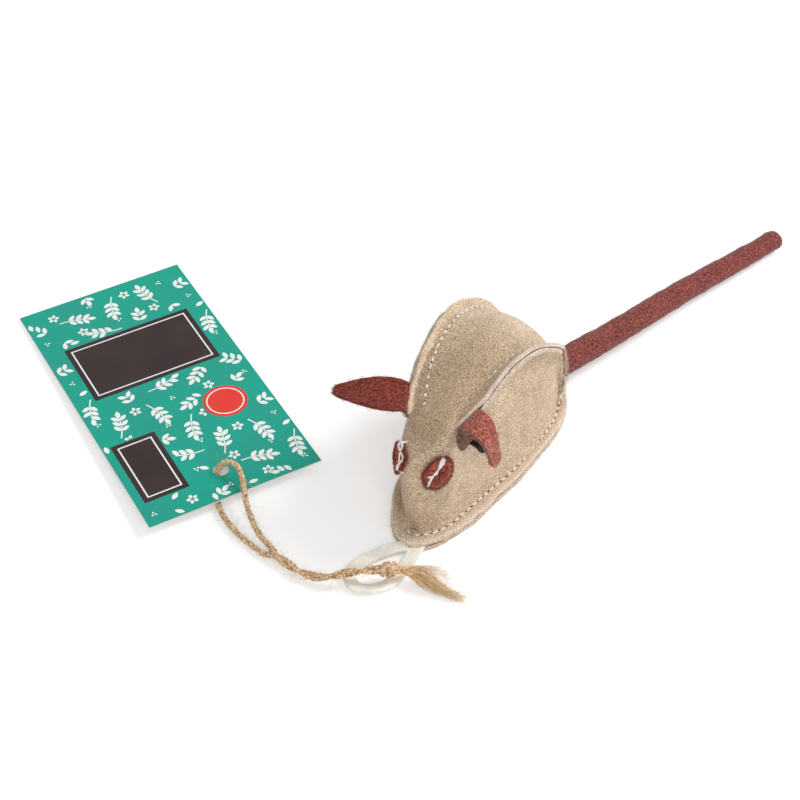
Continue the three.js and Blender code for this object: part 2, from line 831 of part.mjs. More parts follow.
function frayedEnd(points) {
  const path = new THREE.CatmullRomCurve3(vectors(points), false, "centripetal");
  const steps = frayed_shares.length - 1;
  const frames = path.computeFrenetFrames(steps, false);
  const rings = frayed_shares.map((share, i) => {
    const middle = path.getPointAt(i / steps);
    const wide = THREE.MathUtils.lerp(twine_radius, frayed_radius, share);
    const radius = Math.min(wide, middle.z - tag_clear);
    return roundSection(radius, 8).map(({ x, y }) =>
      middle
        .clone()
        .addScaledVector(frames.normals[i], x)
        .addScaledVector(frames.binormals[i], y),
    );
  });
  return ringGeometry(rings);
}

function knotGeometry() {
  const [from, to] = vectors([knot_from, knot_to]);
  const ball = new THREE.SphereGeometry(1, 12, 8);
  ball.scale(knot_radius, knot_length / 2, knot_radius);
  const turned = new THREE.Quaternion().setFromUnitVectors(
    new THREE.Vector3(0, 1, 0),
    to.clone().sub(from).normalize(),
  );
  return ball.applyQuaternion(turned).translate(...from.lerp(to, 1 / 2));
}

// Tag: a card with one hole, lying on the twine at that end and on the floor at the other
function tagGeometry() {
  const shape = new THREE.Shape([
    new THREE.Vector2(-hole_inset, -tag_width / 2),
    new THREE.Vector2(tag_length - hole_inset, -tag_width / 2),
    new THREE.Vector2(tag_length - hole_inset, tag_width / 2),
    new THREE.Vector2(-hole_inset, tag_width / 2),
  ]);
  shape.holes.push(new THREE.Path().absarc(0, 0, hole_radius, 0, 2 * Math.PI, true));
  return new THREE.ExtrudeGeometry(shape, {
    depth: tag_thickness,
    bevelEnabled: false,
    curveSegments: 10,
  });
}

function tagMesh() {
  const pitch = Math.asin(tag_rise / tag_length);
  const tag = piece("swing_tag", tagGeometry(), colours.card, 0.45);
  const reach = (tag_length - hole_inset) * Math.sin(pitch);
  tag.position.set(hole_x, hole_y, reach + tag_clear);
  tag.rotation.set(0, pitch, THREE.MathUtils.degToRad(tag_turn_deg), "ZYX");
  return tag;
}

function piece(name, geometry, color, roughness = 0.95) {
  const material = new THREE.MeshStandardMaterial({ color, roughness, metalness: 0 });
  const mesh = new THREE.Mesh(geometry, material);
  mesh.name = name;
  return mesh;
}

const lace = tube(vectors(lace_points), flatSection(lace_width, lace_thickness), 34);
const loop = tube(vectors(loop_points), roundSection(twine_radius, 8), 36);
const pair = tube(vectors(pair_points), roundSection(pair_radius, 8), 14);

const body = [
  piece("top_cover", coverGeometry(), colours.beige),
  piece("base_panel", rimLayer(0), colours.beige),
  piece("stuffing", stuffingGeometry(), colours.fibre),
  piece("left_ear", earGeometry(left_ear), colours.red),
  piece("right_ear", earGeometry(right_ear), colours.red),
  piece("left_eye", eyeGeometry(1), colours.red),
  piece("right_eye", eyeGeometry(-1), colours.red),
  piece("left_eye_thread", eyeThread(1, eye_thread_turn_deg.left), colours.white),
  piece("right_eye_thread", eyeThread(-1, eye_thread_turn_deg.right), colours.white),
  piece("left_dart_thread", dartThread(1), colours.white),
  piece("right_dart_thread", dartThread(-1), colours.white),
  piece("rim_thread", rimThread(), colours.white),
  piece("tail", tailGeometry(0, 0, tail_length), colours.red),
];
const tied = [
  piece("nose_lace", lace, colours.lace),
  piece("tag_twine_loop", loop, colours.jute),
  piece("tag_twine_pair", pair, colours.jute),
  piece("twine_knot", knotGeometry(), colours.jute),
  piece("twine_end_long", frayedEnd(long_end_points), colours.jute),
  piece("twine_end_short", frayedEnd(short_end_points), colours.jute),
  tagMesh(),
];

// The origin is under the middle of the mouse itself
const bounds = new THREE.Box3();
body.forEach((mesh) => bounds.expandByObject(mesh, true));
const toy = new THREE.Group();
toy.add(...body, ...tied);
toy.position.set(
  -(bounds.min.x + bounds.max.x) / 2,
  -(bounds.min.y + bounds.max.y) / 2,
  -bounds.min.z,
);

export default toy;
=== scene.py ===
import math

import bpy
import numpy as np
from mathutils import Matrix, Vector
from mathutils.bvhtree import BVHTree


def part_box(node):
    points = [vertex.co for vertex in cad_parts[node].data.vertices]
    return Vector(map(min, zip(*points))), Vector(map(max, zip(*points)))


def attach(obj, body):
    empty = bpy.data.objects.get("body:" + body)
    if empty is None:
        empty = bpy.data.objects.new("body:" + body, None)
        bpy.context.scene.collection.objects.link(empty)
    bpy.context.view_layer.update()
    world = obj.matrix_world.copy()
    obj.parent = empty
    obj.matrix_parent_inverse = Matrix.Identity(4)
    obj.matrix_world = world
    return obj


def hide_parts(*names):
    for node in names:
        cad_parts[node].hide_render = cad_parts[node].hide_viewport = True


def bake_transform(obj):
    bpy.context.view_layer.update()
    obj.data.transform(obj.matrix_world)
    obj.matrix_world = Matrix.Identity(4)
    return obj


# A stuffed suede toy mouse with a card tag. Sizes are in millimetres in the mouse's own frame:
# nose towards -Y, its left +X, +Z up, with the front of the sewn outline at nose_seam_y.
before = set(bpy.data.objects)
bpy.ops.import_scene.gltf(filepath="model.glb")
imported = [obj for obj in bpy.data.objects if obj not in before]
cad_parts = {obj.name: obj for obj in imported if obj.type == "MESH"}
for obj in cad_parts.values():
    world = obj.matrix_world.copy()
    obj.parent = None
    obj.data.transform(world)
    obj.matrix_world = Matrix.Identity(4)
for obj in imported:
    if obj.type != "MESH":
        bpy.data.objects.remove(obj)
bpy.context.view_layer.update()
MM = 0.001
rng = np.random.default_rng(11)

# Suede, thread and gaps
suede = 1.3
touch = 0.3
rim_bottom = suede + touch
rim_top = rim_bottom + suede
stitch_pitch = 2.5
thread_radius = 0.36
edge_round = 0.35

# Body
nose_seam_y = 2.2
sewn_length = 69.9
sewn_half_width = 13
back_height = 37
flange_width = 5.2
dart_flange = 3.6
dart_half_width = 15.1
wall_bulge = 1.1
head_wall_share = 0.62
body_bend = math.radians(19.7)
body_lean = -0.06
bend_start = 0.4 * sewn_length
bend_radius = (sewn_length - bend_start) / body_bend

# Ears, eyes and tail
ear_width = 11
ear_thickness = 1.15
ear_root_end_share = 0.11
eye_radius = 4.4
eye_middle = np.array([5.6, 4.3, rim_top + 20.8])
eye_facing = np.array([0.746, -0.504, 0.434])
tail_length = 98
tail_root_radius = 4.5
tail_tip_radius = 3.15
tail_side = -0.7
tail_turn = math.radians(21.8)
tail_inset = 1.1
socket_gap = 0.6

# Lace, twine and tag
lace_width = 3.6
lace_sewn_in = 2.0  # how far each end goes on into the nose's seam
lace_thickness = 1.2
twine_radius = 0.85
tag_width = 52.5
tag_length = 100
tag_thickness = 0.6
tag_rise = 2.5
tag_clear = 0.05
tag_turn = math.radians(147.2)
hole_inset = 10.5
hole_radius = 2.3
hole_place = np.array([-58.3, -3.8])

# The sewn outline: shares of the sewn length, the half width and the flange's width
outline_shares = [
    (0, 0, 1), (0.022, 0.208, 0.92), (0.046, 0.354, 0.78), (0.074, 0.438, 0.72),
    (0.106, 0.523, 0.72), (0.155, 0.562, 0.86), (0.2, 0.615, 0.88), (0.255, 0.692, 0.84),
    (0.326, 0.785, 0.77), (0.398, 0.892, 0.71), (0.469, 0.969, 0.68), (0.569, 1, 0.64),
    (0.655, 0.992, 0.62), (0.741, 0.954, 0.62), (0.827, 0.869, 0.62), (0.906, 0.692, 0.64),
    (0.956, 0.5, 0.66), (0.99, 0.25, 0.67), (1, 0, 0.67),
]
tail_flange = outline_shares[-1][2] * flange_width

# Outer edge of a dart flange: shares of the sewn length, the half width and the back's height
dart_shares = [
    (0.169, 0.53, 0.805), (0.255, 0.642, 0.852), (0.355, 0.755, 0.908), (0.455, 0.828, 0.968),
    (0.569, 0.907, 1), (0.684, 0.967, 0.97), (0.784, 1, 0.876), (0.87, 0.94, 0.724),
    (0.936, 0.785, 0.424), (0.97, 0.57, 0.035),
]

# Rows of the cover from nose to rump: where each starts on the rim and ends on the back, as
# shares of the sewn length, how high that end is as a share of the back's height, how square
# the head's arch is and how much wider than the rim, the row's place along the dart seam, and
# how much of the row has the body's form and not the head's
cover_row_shares = [
    (0, 0, 0, 2.4, 0, 0, 0), (0.004, -0.002, 0.165, 2.4, 0.1, 0, 0),
    (0.013, -0.001, 0.314, 2.4, 0.15, 0, 0), (0.029, 0.008, 0.462, 2.6, 0.2, 0, 0),
    (0.049, 0.026, 0.58, 2.8, 0.22, 0, 0), (0.074, 0.058, 0.678, 3.2, 0.22, 0, 0),
    (0.109, 0.102, 0.754, 3.8, 0.2, 0, 0), (0.146, 0.144, 0.803, 4.8, 0.18, 0, 0),
    (0.183, 0.183, 0.84, 6, 0.16, 0, 0.25), (0.226, 0.226, 0.87, 6, 0.12, 0.045, 0.7),
    (0.276, 0.276, 0.9, 6, 0.12, 0.09, 1), (0.326, 0.326, 0.927, 6, 0.12, 0.135, 1),
    (0.383, 0.383, 0.951, 6, 0.12, 0.18, 1), (0.441, 0.441, 0.973, 6, 0.12, 0.23, 1),
    (0.498, 0.498, 0.989, 6, 0.12, 0.28, 1), (0.555, 0.555, 1, 6, 0.12, 0.33, 1),
    (0.612, 0.612, 1, 6, 0.12, 0.38, 1), (0.67, 0.67, 0.986, 6, 0.12, 0.43, 1),
    (0.727, 0.727, 0.954, 6, 0.12, 0.485, 1), (0.777, 0.78, 0.908, 6, 0.12, 0.535, 1),
    (0.82, 0.827, 0.846, 6, 0.12, 0.58, 1), (0.856, 0.87, 0.765, 6, 0.12, 0.625, 1),
    (0.884, 0.91, 0.662, 6, 0.12, 0.68, 1), (0.91, 0.944, 0.53, 6, 0.12, 0.745, 1),
    (0.93, 0.973, 0.368, 6, 0.12, 0.82, 1), (0.947, 0.993, 0.178, 6, 0.12, 0.9, 1),
    (0.958, 1, 0, 6, 0.12, 1, 1),
]

# The right ear's outline: shares of its length, of its width there, and of the width that
# it is shifted by
ear_outline_shares = [
    (0, 0.88, 0), (0.1, 0.97, -0.02), (0.24, 1, -0.05), (0.4, 0.95, -0.07),
    (0.56, 0.82, -0.09), (0.72, 0.65, -0.11), (0.86, 0.48, -0.12), (0.95, 0.36, -0.12),
    (1, 0.22, -0.12),
]
# Rows of the left ear: share of its length, then across it from its middle the places of
# its back edge, of the bend and of its front edge, and how many degrees it curls under
left_ear_rows = [
    (-0.1, 4, -2, -2.4, 0), (0, 4.6, -2.4, -5.6, 15), (0.05, 4.6, -2.8, -7.9, 50),
    (0.1, 4.5, -3, -9, 85), (0.15, 4.3, -2.9, -8.5, 110), (0.185, 4.2, -2.8, -6.3, 100),
    (0.215, 4.1, -2.6, -3.7, 60), (0.25, 3.9, -2.4, -3.3, 45), (0.3, 3.7, -2.2, -3.1, 42),
    (0.4, 2.7, -2.1, -3.1, 38), (0.5, 2.15, -2.05, -3.1, 38),
    (0.6, 1.9, -1.9, -2.75, 34), (0.7, 1.7, -1.95, -2.5, 26), (0.8, 1.55, -2.2, -2.6, 20),
    (0.9, 1.35, -2.4, -2.6, 10), (0.96, 0.9, -2.2, -2.3, 0), (1, 0, -1.5, -1.6, 0),
]
right_ear_rows = [
    (share, *((shift + wide / 2) * ear_width,) * 2, (shift - wide / 2) * ear_width, -12)
    for share, wide, shift in ear_outline_shares
]
# Each leaf's length, the angles that it hangs at by its root and its tip, the share of the
# length in which it bends, and whether its rows are joined by curves
left_ear = {"length": 19.3, "root": 10, "tip": 134, "bend": 0.5, "rows": left_ear_rows,
            "curved": False}
right_ear = {"length": 19.2, "root": 30, "tip": 54, "bend": 1, "rows": right_ear_rows,
             "curved": True}
# The fold under the left ear's front edge, near black as painted shade for the gap under the
# leaf: share of length, edges across, depth
left_shade_fold_rows = [
    (0.14, -2, -5, 2.5), (0.19, -1.9, -5, 2), (0.25, -1.8, -4.7, 1.5), (0.33, -1.6, -4.4, 1.3),
    (0.42, -1.4, -4.1, 1.1), (0.52, -1.4, -3.9, 1), (0.62, -1.3, -3.2, 0.8),
]

# Routes of the cords
lace_points = [
    (-1, -3.8, 1.3), (-2.3, -4.9, 1.2), (-4.3, -7.2, 1), (-6.4, -10.2, 0.8), (-8.2, -13.6, 0.7),
    (-8.8, -16.8, 0.7), (-7.8, -19.7, 0.7), (-5.2, -21.4, 0.7), (-2.4, -20.7, 0.7),
    (0.2, -18.8, 0.7), (2.1, -16.1, 0.7), (2.9, -12.8, 0.7), (3, -9, 0.9), (3, -5.4, 1.2),
    (3, -2.7, 1.3),
]
loop_points = [
    (-32.4, -23.2, 1), (-36.3, -22.3, 0.9), (-42.9, -20.2, 0.9), (-48.8, -17.2, 0.9),
    (-53.4, -13.4, 0.9), (-56.6, -9.2, 0.9), (-58.4, -6.1, 1.2), (-59, -4.4, 2.3),
    (-58.7, -3.5, 3.8), (-57.6, -2.7, 5.2), (-55.6, -2.5, 6), (-53, -3.1, 6.2),
    (-49.4, -6.3, 5.2), (-45.3, -11.4, 3.6), (-40.7, -15.7, 2.4), (-36, -18.9, 1.7),
    (-32.5, -20.4, 1.6),
]
loop_end_points = [(-29.8, -22.7, 1.4), (-29.8, -22, 1.9)]  # where its ends join the pair
pair_points = [
    (-31.6, -21.8, 1.7), (-27.6, -23, 1.7), (-20.6, -24.4, 1.7), (-16, -24.3, 2),
    (-12.4, -23.2, 2.8), (-9.5, -21.5, 3.6), (-7.3, -19.9, 4), (-4.6, -18.2, 4.2),
    (-1.9, -16.2, 4.2),
]
knot_points = [(-1.3, -15.7, 4.2), (3.6, -13, 4.1)]
long_end_points = [
    (4.1, -12.9, 4), (6.6, -12, 3.3), (10, -11.5, 2.3), (14.4, -11.8, 1.5), (18.5, -11.7, 1.1),
    (22.8, -11.3, 0.9),
]
short_end_points = [
    (3.4, -13, 4), (6.2, -11.3, 3.6), (9.4, -10, 3.1), (12.6, -8.8, 2.5), (15.4, -7.6, 2),
]

# Camera: where it stands and the floor point at the picture's middle
camera_place = (156.1, -296.1, 385.2)
camera_target = (-28.68, 47.07, 0)
camera_lens = 84.1
sensor_width = 36
camera_clip = 0.02, 20  # metres


# Curves and frames
def unit(vectors):
    vectors = np.asarray(vectors, float)
    return vectors / np.maximum(np.linalg.norm(vectors, axis=-1, keepdims=True), 1e-12)


def spline(points, closed=False, steps=24):
    """A dense line through the points, bending evenly however far apart they are."""
    points = np.asarray(points, float)
    if closed:
        run = np.vstack([points[-1:], points, points[:2]])
    else:
        run = np.vstack([2 * points[0] - points[1], points, 2 * points[-1] - points[-2]])
    share = (np.arange(steps) / steps)[:, None]
    line = []
    for p0, p1, p2, p3 in zip(run, run[1:], run[2:], run[3:]):
        d0, d1, d2 = (max(np.linalg.norm(b - a) ** 0.5, 1e-6)
                      for a, b in ((p0, p1), (p1, p2), (p2, p3)))
        t1 = d1 * ((p1 - p0) / d0 - (p2 - p0) / (d0 + d1) + (p2 - p1) / d1)
        t2 = d1 * ((p2 - p1) / d1 - (p3 - p1) / (d1 + d2) + (p3 - p2) / d2)
        square, cube = share ** 2, share ** 3
        line.append(
            (2 * cube - 3 * square + 1) * p1 + (cube - 2 * square + share) * t1
            + (3 * square - 2 * cube) * p2 + (cube - square) * t2
        )
    line.append((points[:1] if closed else points[-1:]))
    return np.vstack(line)


def lengths(line):
    steps = np.linalg.norm(np.diff(line, axis=0), axis=1)
    return np.concatenate([[0], np.cumsum(steps)])


def read_at(at, run, line):
    """The line's columns where its run reaches the given values."""
    return np.stack([np.interp(at, run, line[:, k]) for k in range(line.shape[1])], -1)


def along(line, shares):
    """Points at shares of the line's length."""
    run = lengths(line)
    return read_at(np.asarray(shares, float) * run[-1], run, line)


def spaced(line, step):
    count = max(2, round(lengths(line)[-1] / step) + 1)
    return along(line, np.linspace(0, 1, count))


def smooth_table(table, at):
    """Columns of a table read between its rows along smooth curves."""
    table = np.asarray(table, float)
    ends = np.vstack([2 * table[0] - table[1], table, 2 * table[-1] - table[-2]])
    at = np.clip(np.asarray(at, float), 0, len(table) - 1 - 1e-9)
    i = at.astype(int)
    t = (at - i)[:, None]
    p0, p1, p2, p3 = ends[i], ends[i + 1], ends[i + 2], ends[i + 3]
    return p1 + t / 2 * (p2 - p0 + t * (2 * p0 - 5 * p1 + 4 * p2 - p3
                                        + t * (3 * (p1 - p2) + p3 - p0)))


def placed(points):
    """The straight, upright body's points on the bent and leaning one."""
    x, y, z = np.moveaxis(np.asarray(points, float), -1, 0)
    turn = np.maximum(0, y - bend_start) / bend_radius
    middle_x = bend_radius * (1 - np.cos(turn))
    middle_y = np.where(turn > 0, bend_start + bend_radius * np.sin(turn), y)
    side = x + body_lean * (z - rim_top)
    return np.stack([
        middle_x + side * np.cos(turn),
        nose_seam_y + middle_y - side * np.sin(turn),
        z,
    ], -1)


def on_side(points, side):
    return placed(np.asarray(points, float) * [side, 1, 1])


def circle(count):
    """Angles spaced evenly round a circle."""
    return np.arange(count) / count * 2 * math.pi


def turned_ways(a, b, turns):
    """Ways turned from a towards b by each angle."""
    return a * np.cos(turns)[:, None] + b * np.sin(turns)[:, None]


def smoothed(line, passes=6):
    line = line.copy()
    for _ in range(passes):
        line[1:-1] = (line[:-2] + 2 * line[1:-1] + line[2:]) / 4
    return line


def carried(line):
    """Tangents and two normals along a line that turn no more than the line does."""
    tangents = unit(np.gradient(line, axis=0))
    normal = np.cross(tangents[0], [0, 0, 1])
    if np.linalg.norm(normal) < 0.1:
        normal = np.cross(tangents[0], [0, 1, 0])
    normals = [unit(normal)]
    for tangent in tangents[1:]:
        normals.append(unit(normals[-1] - tangent * (normals[-1] @ tangent)))
    normals = np.array(normals)
    return tangents, normals, np.cross(tangents, normals)


# Meshes
def grid_faces(rows, columns, round_columns=False):
    i, j = np.meshgrid(np.arange(rows - 1), np.arange(columns - (not round_columns)),
                       indexing="ij")
    a, b = i * columns + j, i * columns + (j + 1) % columns
    return np.stack([a, b, b + columns, a + columns], -1).reshape(-1, 4)


def loft(rings):
    """Points and faces of a closed solid through rings of points, flat at both ends."""
    rings = np.asarray(rings, float)
    rows, columns = rings.shape[:2]
    faces = [tuple(face) for face in grid_faces(rows, columns, True)]
    faces.append(tuple(range(columns))[::-1])
    faces.append(tuple(range((rows - 1) * columns, rows * columns)))
    return rings.reshape(-1, 3), faces


def grid_normals(grid):
    across = np.gradient(grid, axis=1)
    down = np.gradient(grid, axis=0)
    return unit(np.cross(across, down))


def leaf(grid, thickness, rounding):
    """Points and faces of a closed sheet of suede round a grid of middle points."""
    rows, columns = grid.shape[:2]
    normals = grid_normals(grid)
    run = [lengths(line) for line in grid]
    across = np.array([np.minimum(line, line[-1] - line) for line in run])
    down = np.array([lengths(grid[:, j]) for j in range(columns)]).T
    down = np.minimum(down, down[-1] - down)
    inside = np.clip(np.minimum(across, down) / rounding, 0, 1)
    half = thickness / 2 * np.sqrt(np.clip(1 - (1 - inside) ** 2, 0.02, 1))
    top = (grid + normals * half[..., None]).reshape(-1, 3)
    bottom = (grid - normals * half[..., None]).reshape(-1, 3)
    faces = [tuple(face) for face in grid_faces(rows, columns)]
    count = rows * columns
    faces += [tuple(count + i for i in face[::-1]) for face in faces]
    border = list(range(columns))
    border += [i * columns + columns - 1 for i in range(1, rows)]
    border += [(rows - 1) * columns + j for j in range(columns - 2, -1, -1)]
    border += [i * columns for i in range(rows - 2, 0, -1)]
    for a, b in zip(border, border[1:] + border[:1]):
        faces.append((b, a, count + a, count + b))
    return np.vstack([top, bottom]), faces


def tube(line, radii, sides=8):
    line = np.asarray(line, float)
    _, normals, others = carried(line)
    radii = np.broadcast_to(radii, len(line))
    around = turned_ways(normals[:, None], others[:, None], circle(sides))
    return loft(line[:, None] + around * radii[:, None, None])


def joined(parts):
    points, faces, count = [], [], 0
    for part_points, part_faces in parts:
        points.append(part_points)
        faces += [tuple(i + count for i in face) for face in part_faces]
        count += len(part_points)
    return np.vstack(points), faces


def kept_above(points, lowest):
    points[..., 2] = np.maximum(points[..., 2], lowest)
    return points


def new_object(name, data):
    made = bpy.data.objects.new(name, data)
    bpy.context.scene.collection.objects.link(made)
    return made


def piece(name, part, material, body, slot, smooth=True, **shares):
    """A new piece of the toy from points in the mouse's frame, riding on a body.
    shares say, from 0 to 1 at each point, how much wear the suede shows, which also paints
    light on the back's rear; how much it takes its inner side's tone, which also paints shade
    on the left ear's curl; and how much painted shade it has."""
    points, faces = part
    mesh = bpy.data.meshes.new(name)
    mesh.from_pydata(((points + offset) * MM).tolist(), [], [list(map(int, f)) for f in faces])
    mesh.materials.append(material)
    for key, values in shares.items():
        values = np.resize(np.asarray(values, float), len(points))
        mesh.attributes.new(key, "FLOAT", "POINT").data.foreach_set("value", values)
    mesh.validate()
    if smooth:
        mesh.shade_smooth()
    made = new_object(name, mesh)
    if body:
        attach(made, body)
    return made


def uneven(points, size, seed):
    """Smooth unevenness from -1 to 1 with bumps of about a size, the same in every run."""
    waves = np.random.default_rng(seed)
    ways = unit(waves.normal(size=(9, 3))) * 2 * math.pi / size
    ways *= waves.uniform(0.6, 1.5, (9, 1))
    phases = waves.uniform(0, 2 * math.pi, 9)
    return np.sin(np.asarray(points) @ ways.T + phases).sum(-1) / 4.5


fibre_bend = 0.35  # how far a hair's tip leans, as a share of its length


def fibres(roots, ways, length, radius):
    """Fine hairs, three-sided needles from roots, each bending its own way."""
    count = len(roots)
    ways = unit(ways)
    sideways = unit(np.cross(ways, rng.normal(size=(count, 3))))
    lean = unit(np.cross(ways, sideways) + sideways * rng.normal(size=(count, 1)))
    size = length * rng.uniform(0.45, 1, (count, 1))
    middle = roots + ways * size / 2 + lean * size * fibre_bend / 4
    tip = roots + ways * size + lean * size * fibre_bend
    ring = [sideways * math.cos(turn) + np.cross(ways, sideways) * math.sin(turn)
            for turn in circle(3)]
    stack = [roots + r * radius for r in ring] + [middle + r * radius * 0.8 for r in ring]
    points = np.stack([*stack, tip], 1)
    shape = [(0, 1, 4, 3), (1, 2, 5, 4), (2, 0, 3, 5), (3, 4, 6), (4, 5, 6), (5, 3, 6), (2, 1, 0)]
    faces = [tuple(7 * k + i for i in face) for k in range(count) for face in shape]
    return points.reshape(-1, 3), faces


def fuzz_on(points, ways, count, wander, length, radius, scatter=0, scatter_first=False):
    """Fibres at random points, each off its way by a wander and off its point by a scatter."""
    picks = rng.integers(0, len(points), count)

    def jitter(size):
        return rng.normal(size=(count, 3)) * size if size else 0

    if scatter_first:
        points, ways = points[picks] + jitter(scatter), ways[picks] + jitter(wander)
    else:
        ways, points = ways[picks] + jitter(wander), points[picks] + jitter(scatter)
    return fibres(points, ways, length, radius)


# Materials
def shader(name, roughness, **inputs):
    material = bpy.data.materials.new(name)
    material.use_nodes = True
    principled = material.node_tree.nodes["Principled BSDF"]
    principled.inputs["Roughness"].default_value = roughness
    for key, value in inputs.items():
        principled.inputs[key.replace("_", " ")].default_value = value
    return material, principled


def add(material, kind, **settings):
    node = material.node_tree.nodes.new(kind)
    for key, value in settings.items():
        setattr(node, key, value)
    return node


def linear(colour):
    """A screen colour from 0 to 255 as the light that it stands for."""
    shares = np.asarray(colour, float) / 255
    low = shares / 12.92
    high = ((shares + 0.055) / 1.055) ** 2.4
    return [*np.where(shares <= 0.04045, low, high), 1]


def noise(material, size, detail=3):
    """Noise with bumps of about a size in millimetres."""
    place = add(material, "ShaderNodeTexCoord")
    texture = add(material, "ShaderNodeTexNoise")
    texture.inputs["Scale"].default_value = 1 / (size * MM)
    texture.inputs["Detail"].default_value = detail
    material.node_tree.links.new(place.outputs["Object"], texture.inputs["Vector"])
    return texture.outputs["Fac"]


def ramp(material, value, stops):
    links = material.node_tree.links
    node = add(material, "ShaderNodeValToRGB")
    elements = node.color_ramp.elements
    while len(elements) < len(stops):
        elements.new(0.5)
    for element, (place, colour) in zip(elements, stops):
        element.position = place
        element.color = colour
    links.new(value, node.inputs["Fac"])
    return node.outputs["Color"]


def mixed(material, a, b, share, way="MIX"):
    links = material.node_tree.links
    node = add(material, "ShaderNodeMix", data_type="RGBA", blend_type=way)
    for socket, value in ((node.inputs[0], share), (node.inputs[6], a), (node.inputs[7], b)):
        if isinstance(value, bpy.types.NodeSocket):
            links.new(value, socket)
        else:
            socket.default_value = value
    return node.outputs[2]


def bumped(material, principled, *layers):
    """Adds layers of bumps, each a value and its height in millimetres."""
    links = material.node_tree.links
    normal = None
    for value, height in layers:
        node = add(material, "ShaderNodeBump")
        node.inputs["Strength"].default_value = 1
        node.inputs["Distance"].default_value = height * MM
        links.new(value, node.inputs["Height"])
        if normal:
            links.new(normal, node.inputs["Normal"])
        normal = node.outputs["Normal"]
    links.new(normal, principled.inputs["Normal"])


def grey(value):
    return [value, value, value, 1]


def suede_material(name, dark, middle, light, worn=None, inner=None, deep=None, grain=0.42,
                   nap=0.16, even=0.19):
    """Napped suede: fine fibres in many tones over slow changes of tone, and further
    tones where the points ask: a tone for cut and rubbed suede, which also serves as painted
    light; one for its inner side, which also serves as painted shade; and one of painted shade."""
    material, principled = shader(name, 0.95, Sheen_Weight=0.12, Sheen_Roughness=0.6,
                                  Specular_IOR_Level=0.25)
    links = material.node_tree.links
    fine = noise(material, grain, 4)
    base = ramp(material, fine, [
        (0.5 - even, linear(dark)), (0.5, linear(middle)), (0.5 + even, linear(light)),
    ])
    slow = ramp(material, noise(material, 9, 3), [(0.3, grey(0.86)), (0.7, grey(1.08))])
    patches = ramp(material, noise(material, 2.6, 3), [(0.35, grey(0.93)), (0.65, grey(1.05))])
    base = mixed(material, base, slow, 1.0, "MULTIPLY")
    base = mixed(material, base, patches, 1.0, "MULTIPLY")
    for key, tones in (("worn", worn), ("inner", inner), ("deep", deep)):
        if tones:
            share = add(material, "ShaderNodeAttribute", attribute_name=key)
            other = ramp(material, fine, [(0.35, linear(tones[0])), (0.65, linear(tones[1]))])
            base = mixed(material, base, other, share.outputs["Fac"])
    links.new(base, principled.inputs["Base Color"])
    bumped(material, principled, (noise(material, 2.2, 3), 0.12), (fine, nap))
    return material


def thread_material(name, dark, light):
    material, principled = shader(name, 0.7, Sheen_Weight=0.2)
    tones = ramp(material, noise(material, 0.5, 3), [(0.35, linear(dark)), (0.6, linear(light))])
    material.node_tree.links.new(tones, principled.inputs["Base Color"])
    bumped(material, principled, (noise(material, 0.25, 2), 0.08))
    return material


def jute_material(name, dark, middle, light, pale=None):
    material, principled = shader(name, 0.75, Sheen_Weight=0.15)
    tones = ramp(material, noise(material, 0.7, 5), [
        (0.3, linear(dark)), (0.5, linear(middle)), (0.68, linear(light)),
    ])
    if pale:
        share = add(material, "ShaderNodeAttribute", attribute_name="worn")
        tones = mixed(material, tones, linear(pale), share.outputs["Fac"])
    material.node_tree.links.new(tones, principled.inputs["Base Color"])
    bumped(material, principled, (noise(material, 0.2, 3), 0.1))
    return material


def card_material(name, colour, worn):
    """Satin print on card, a little rubbed."""
    material, principled = shader(name, 0.5, Specular_IOR_Level=0.22)
    slow = noise(material, 14, 4)
    tones = ramp(material, slow, [(0.3, linear(worn)), (0.6, linear(colour))])
    material.node_tree.links.new(tones, principled.inputs["Base Color"])
    bumped(material, principled, (noise(material, 1.1, 3), 0.015))
    return material


# The beige suede's paler extra tone is wear, and also painted light on the back's rear; its
# darkest extra tone is painted shade on the front of the back
beige = suede_material(
    "beige_suede", (150, 124, 95), (203, 177, 148), (240, 219, 192),
    worn=((196, 172, 152), (244, 230, 216)), inner=((84, 60, 40), (150, 118, 88)),
    deep=((118, 94, 68), (180, 154, 124)),
)
beige_fibre = suede_material("beige_fibres", (186, 162, 140), (226, 206, 184), (247, 234, 218))
red = suede_material("red_suede", (78, 30, 27), (130, 60, 54), (174, 96, 86), grain=0.5,
                     even=0.17, worn=((120, 66, 58), (184, 120, 108)),
                     inner=((60, 28, 24), (110, 58, 50)))
red_eye = suede_material("eye_suede", (98, 32, 27), (166, 74, 62), (212, 120, 102), grain=0.5,
                         even=0.17, worn=((110, 50, 42), (186, 110, 96)),
                         inner=((66, 20, 14), (136, 56, 42)))
# Both ears are one red suede in two tones: the right ear's darker copy is painted shade, as it
# lies in shade, and the left ear's lighter one painted light
red_painted_shade = suede_material("red_suede_painted_shade", (70, 20, 15), (150, 54, 41), (204, 98, 78),
                          grain=0.6, even=0.16, worn=((64, 26, 20), (136, 66, 54)),
                          inner=((66, 20, 14), (136, 56, 42)))
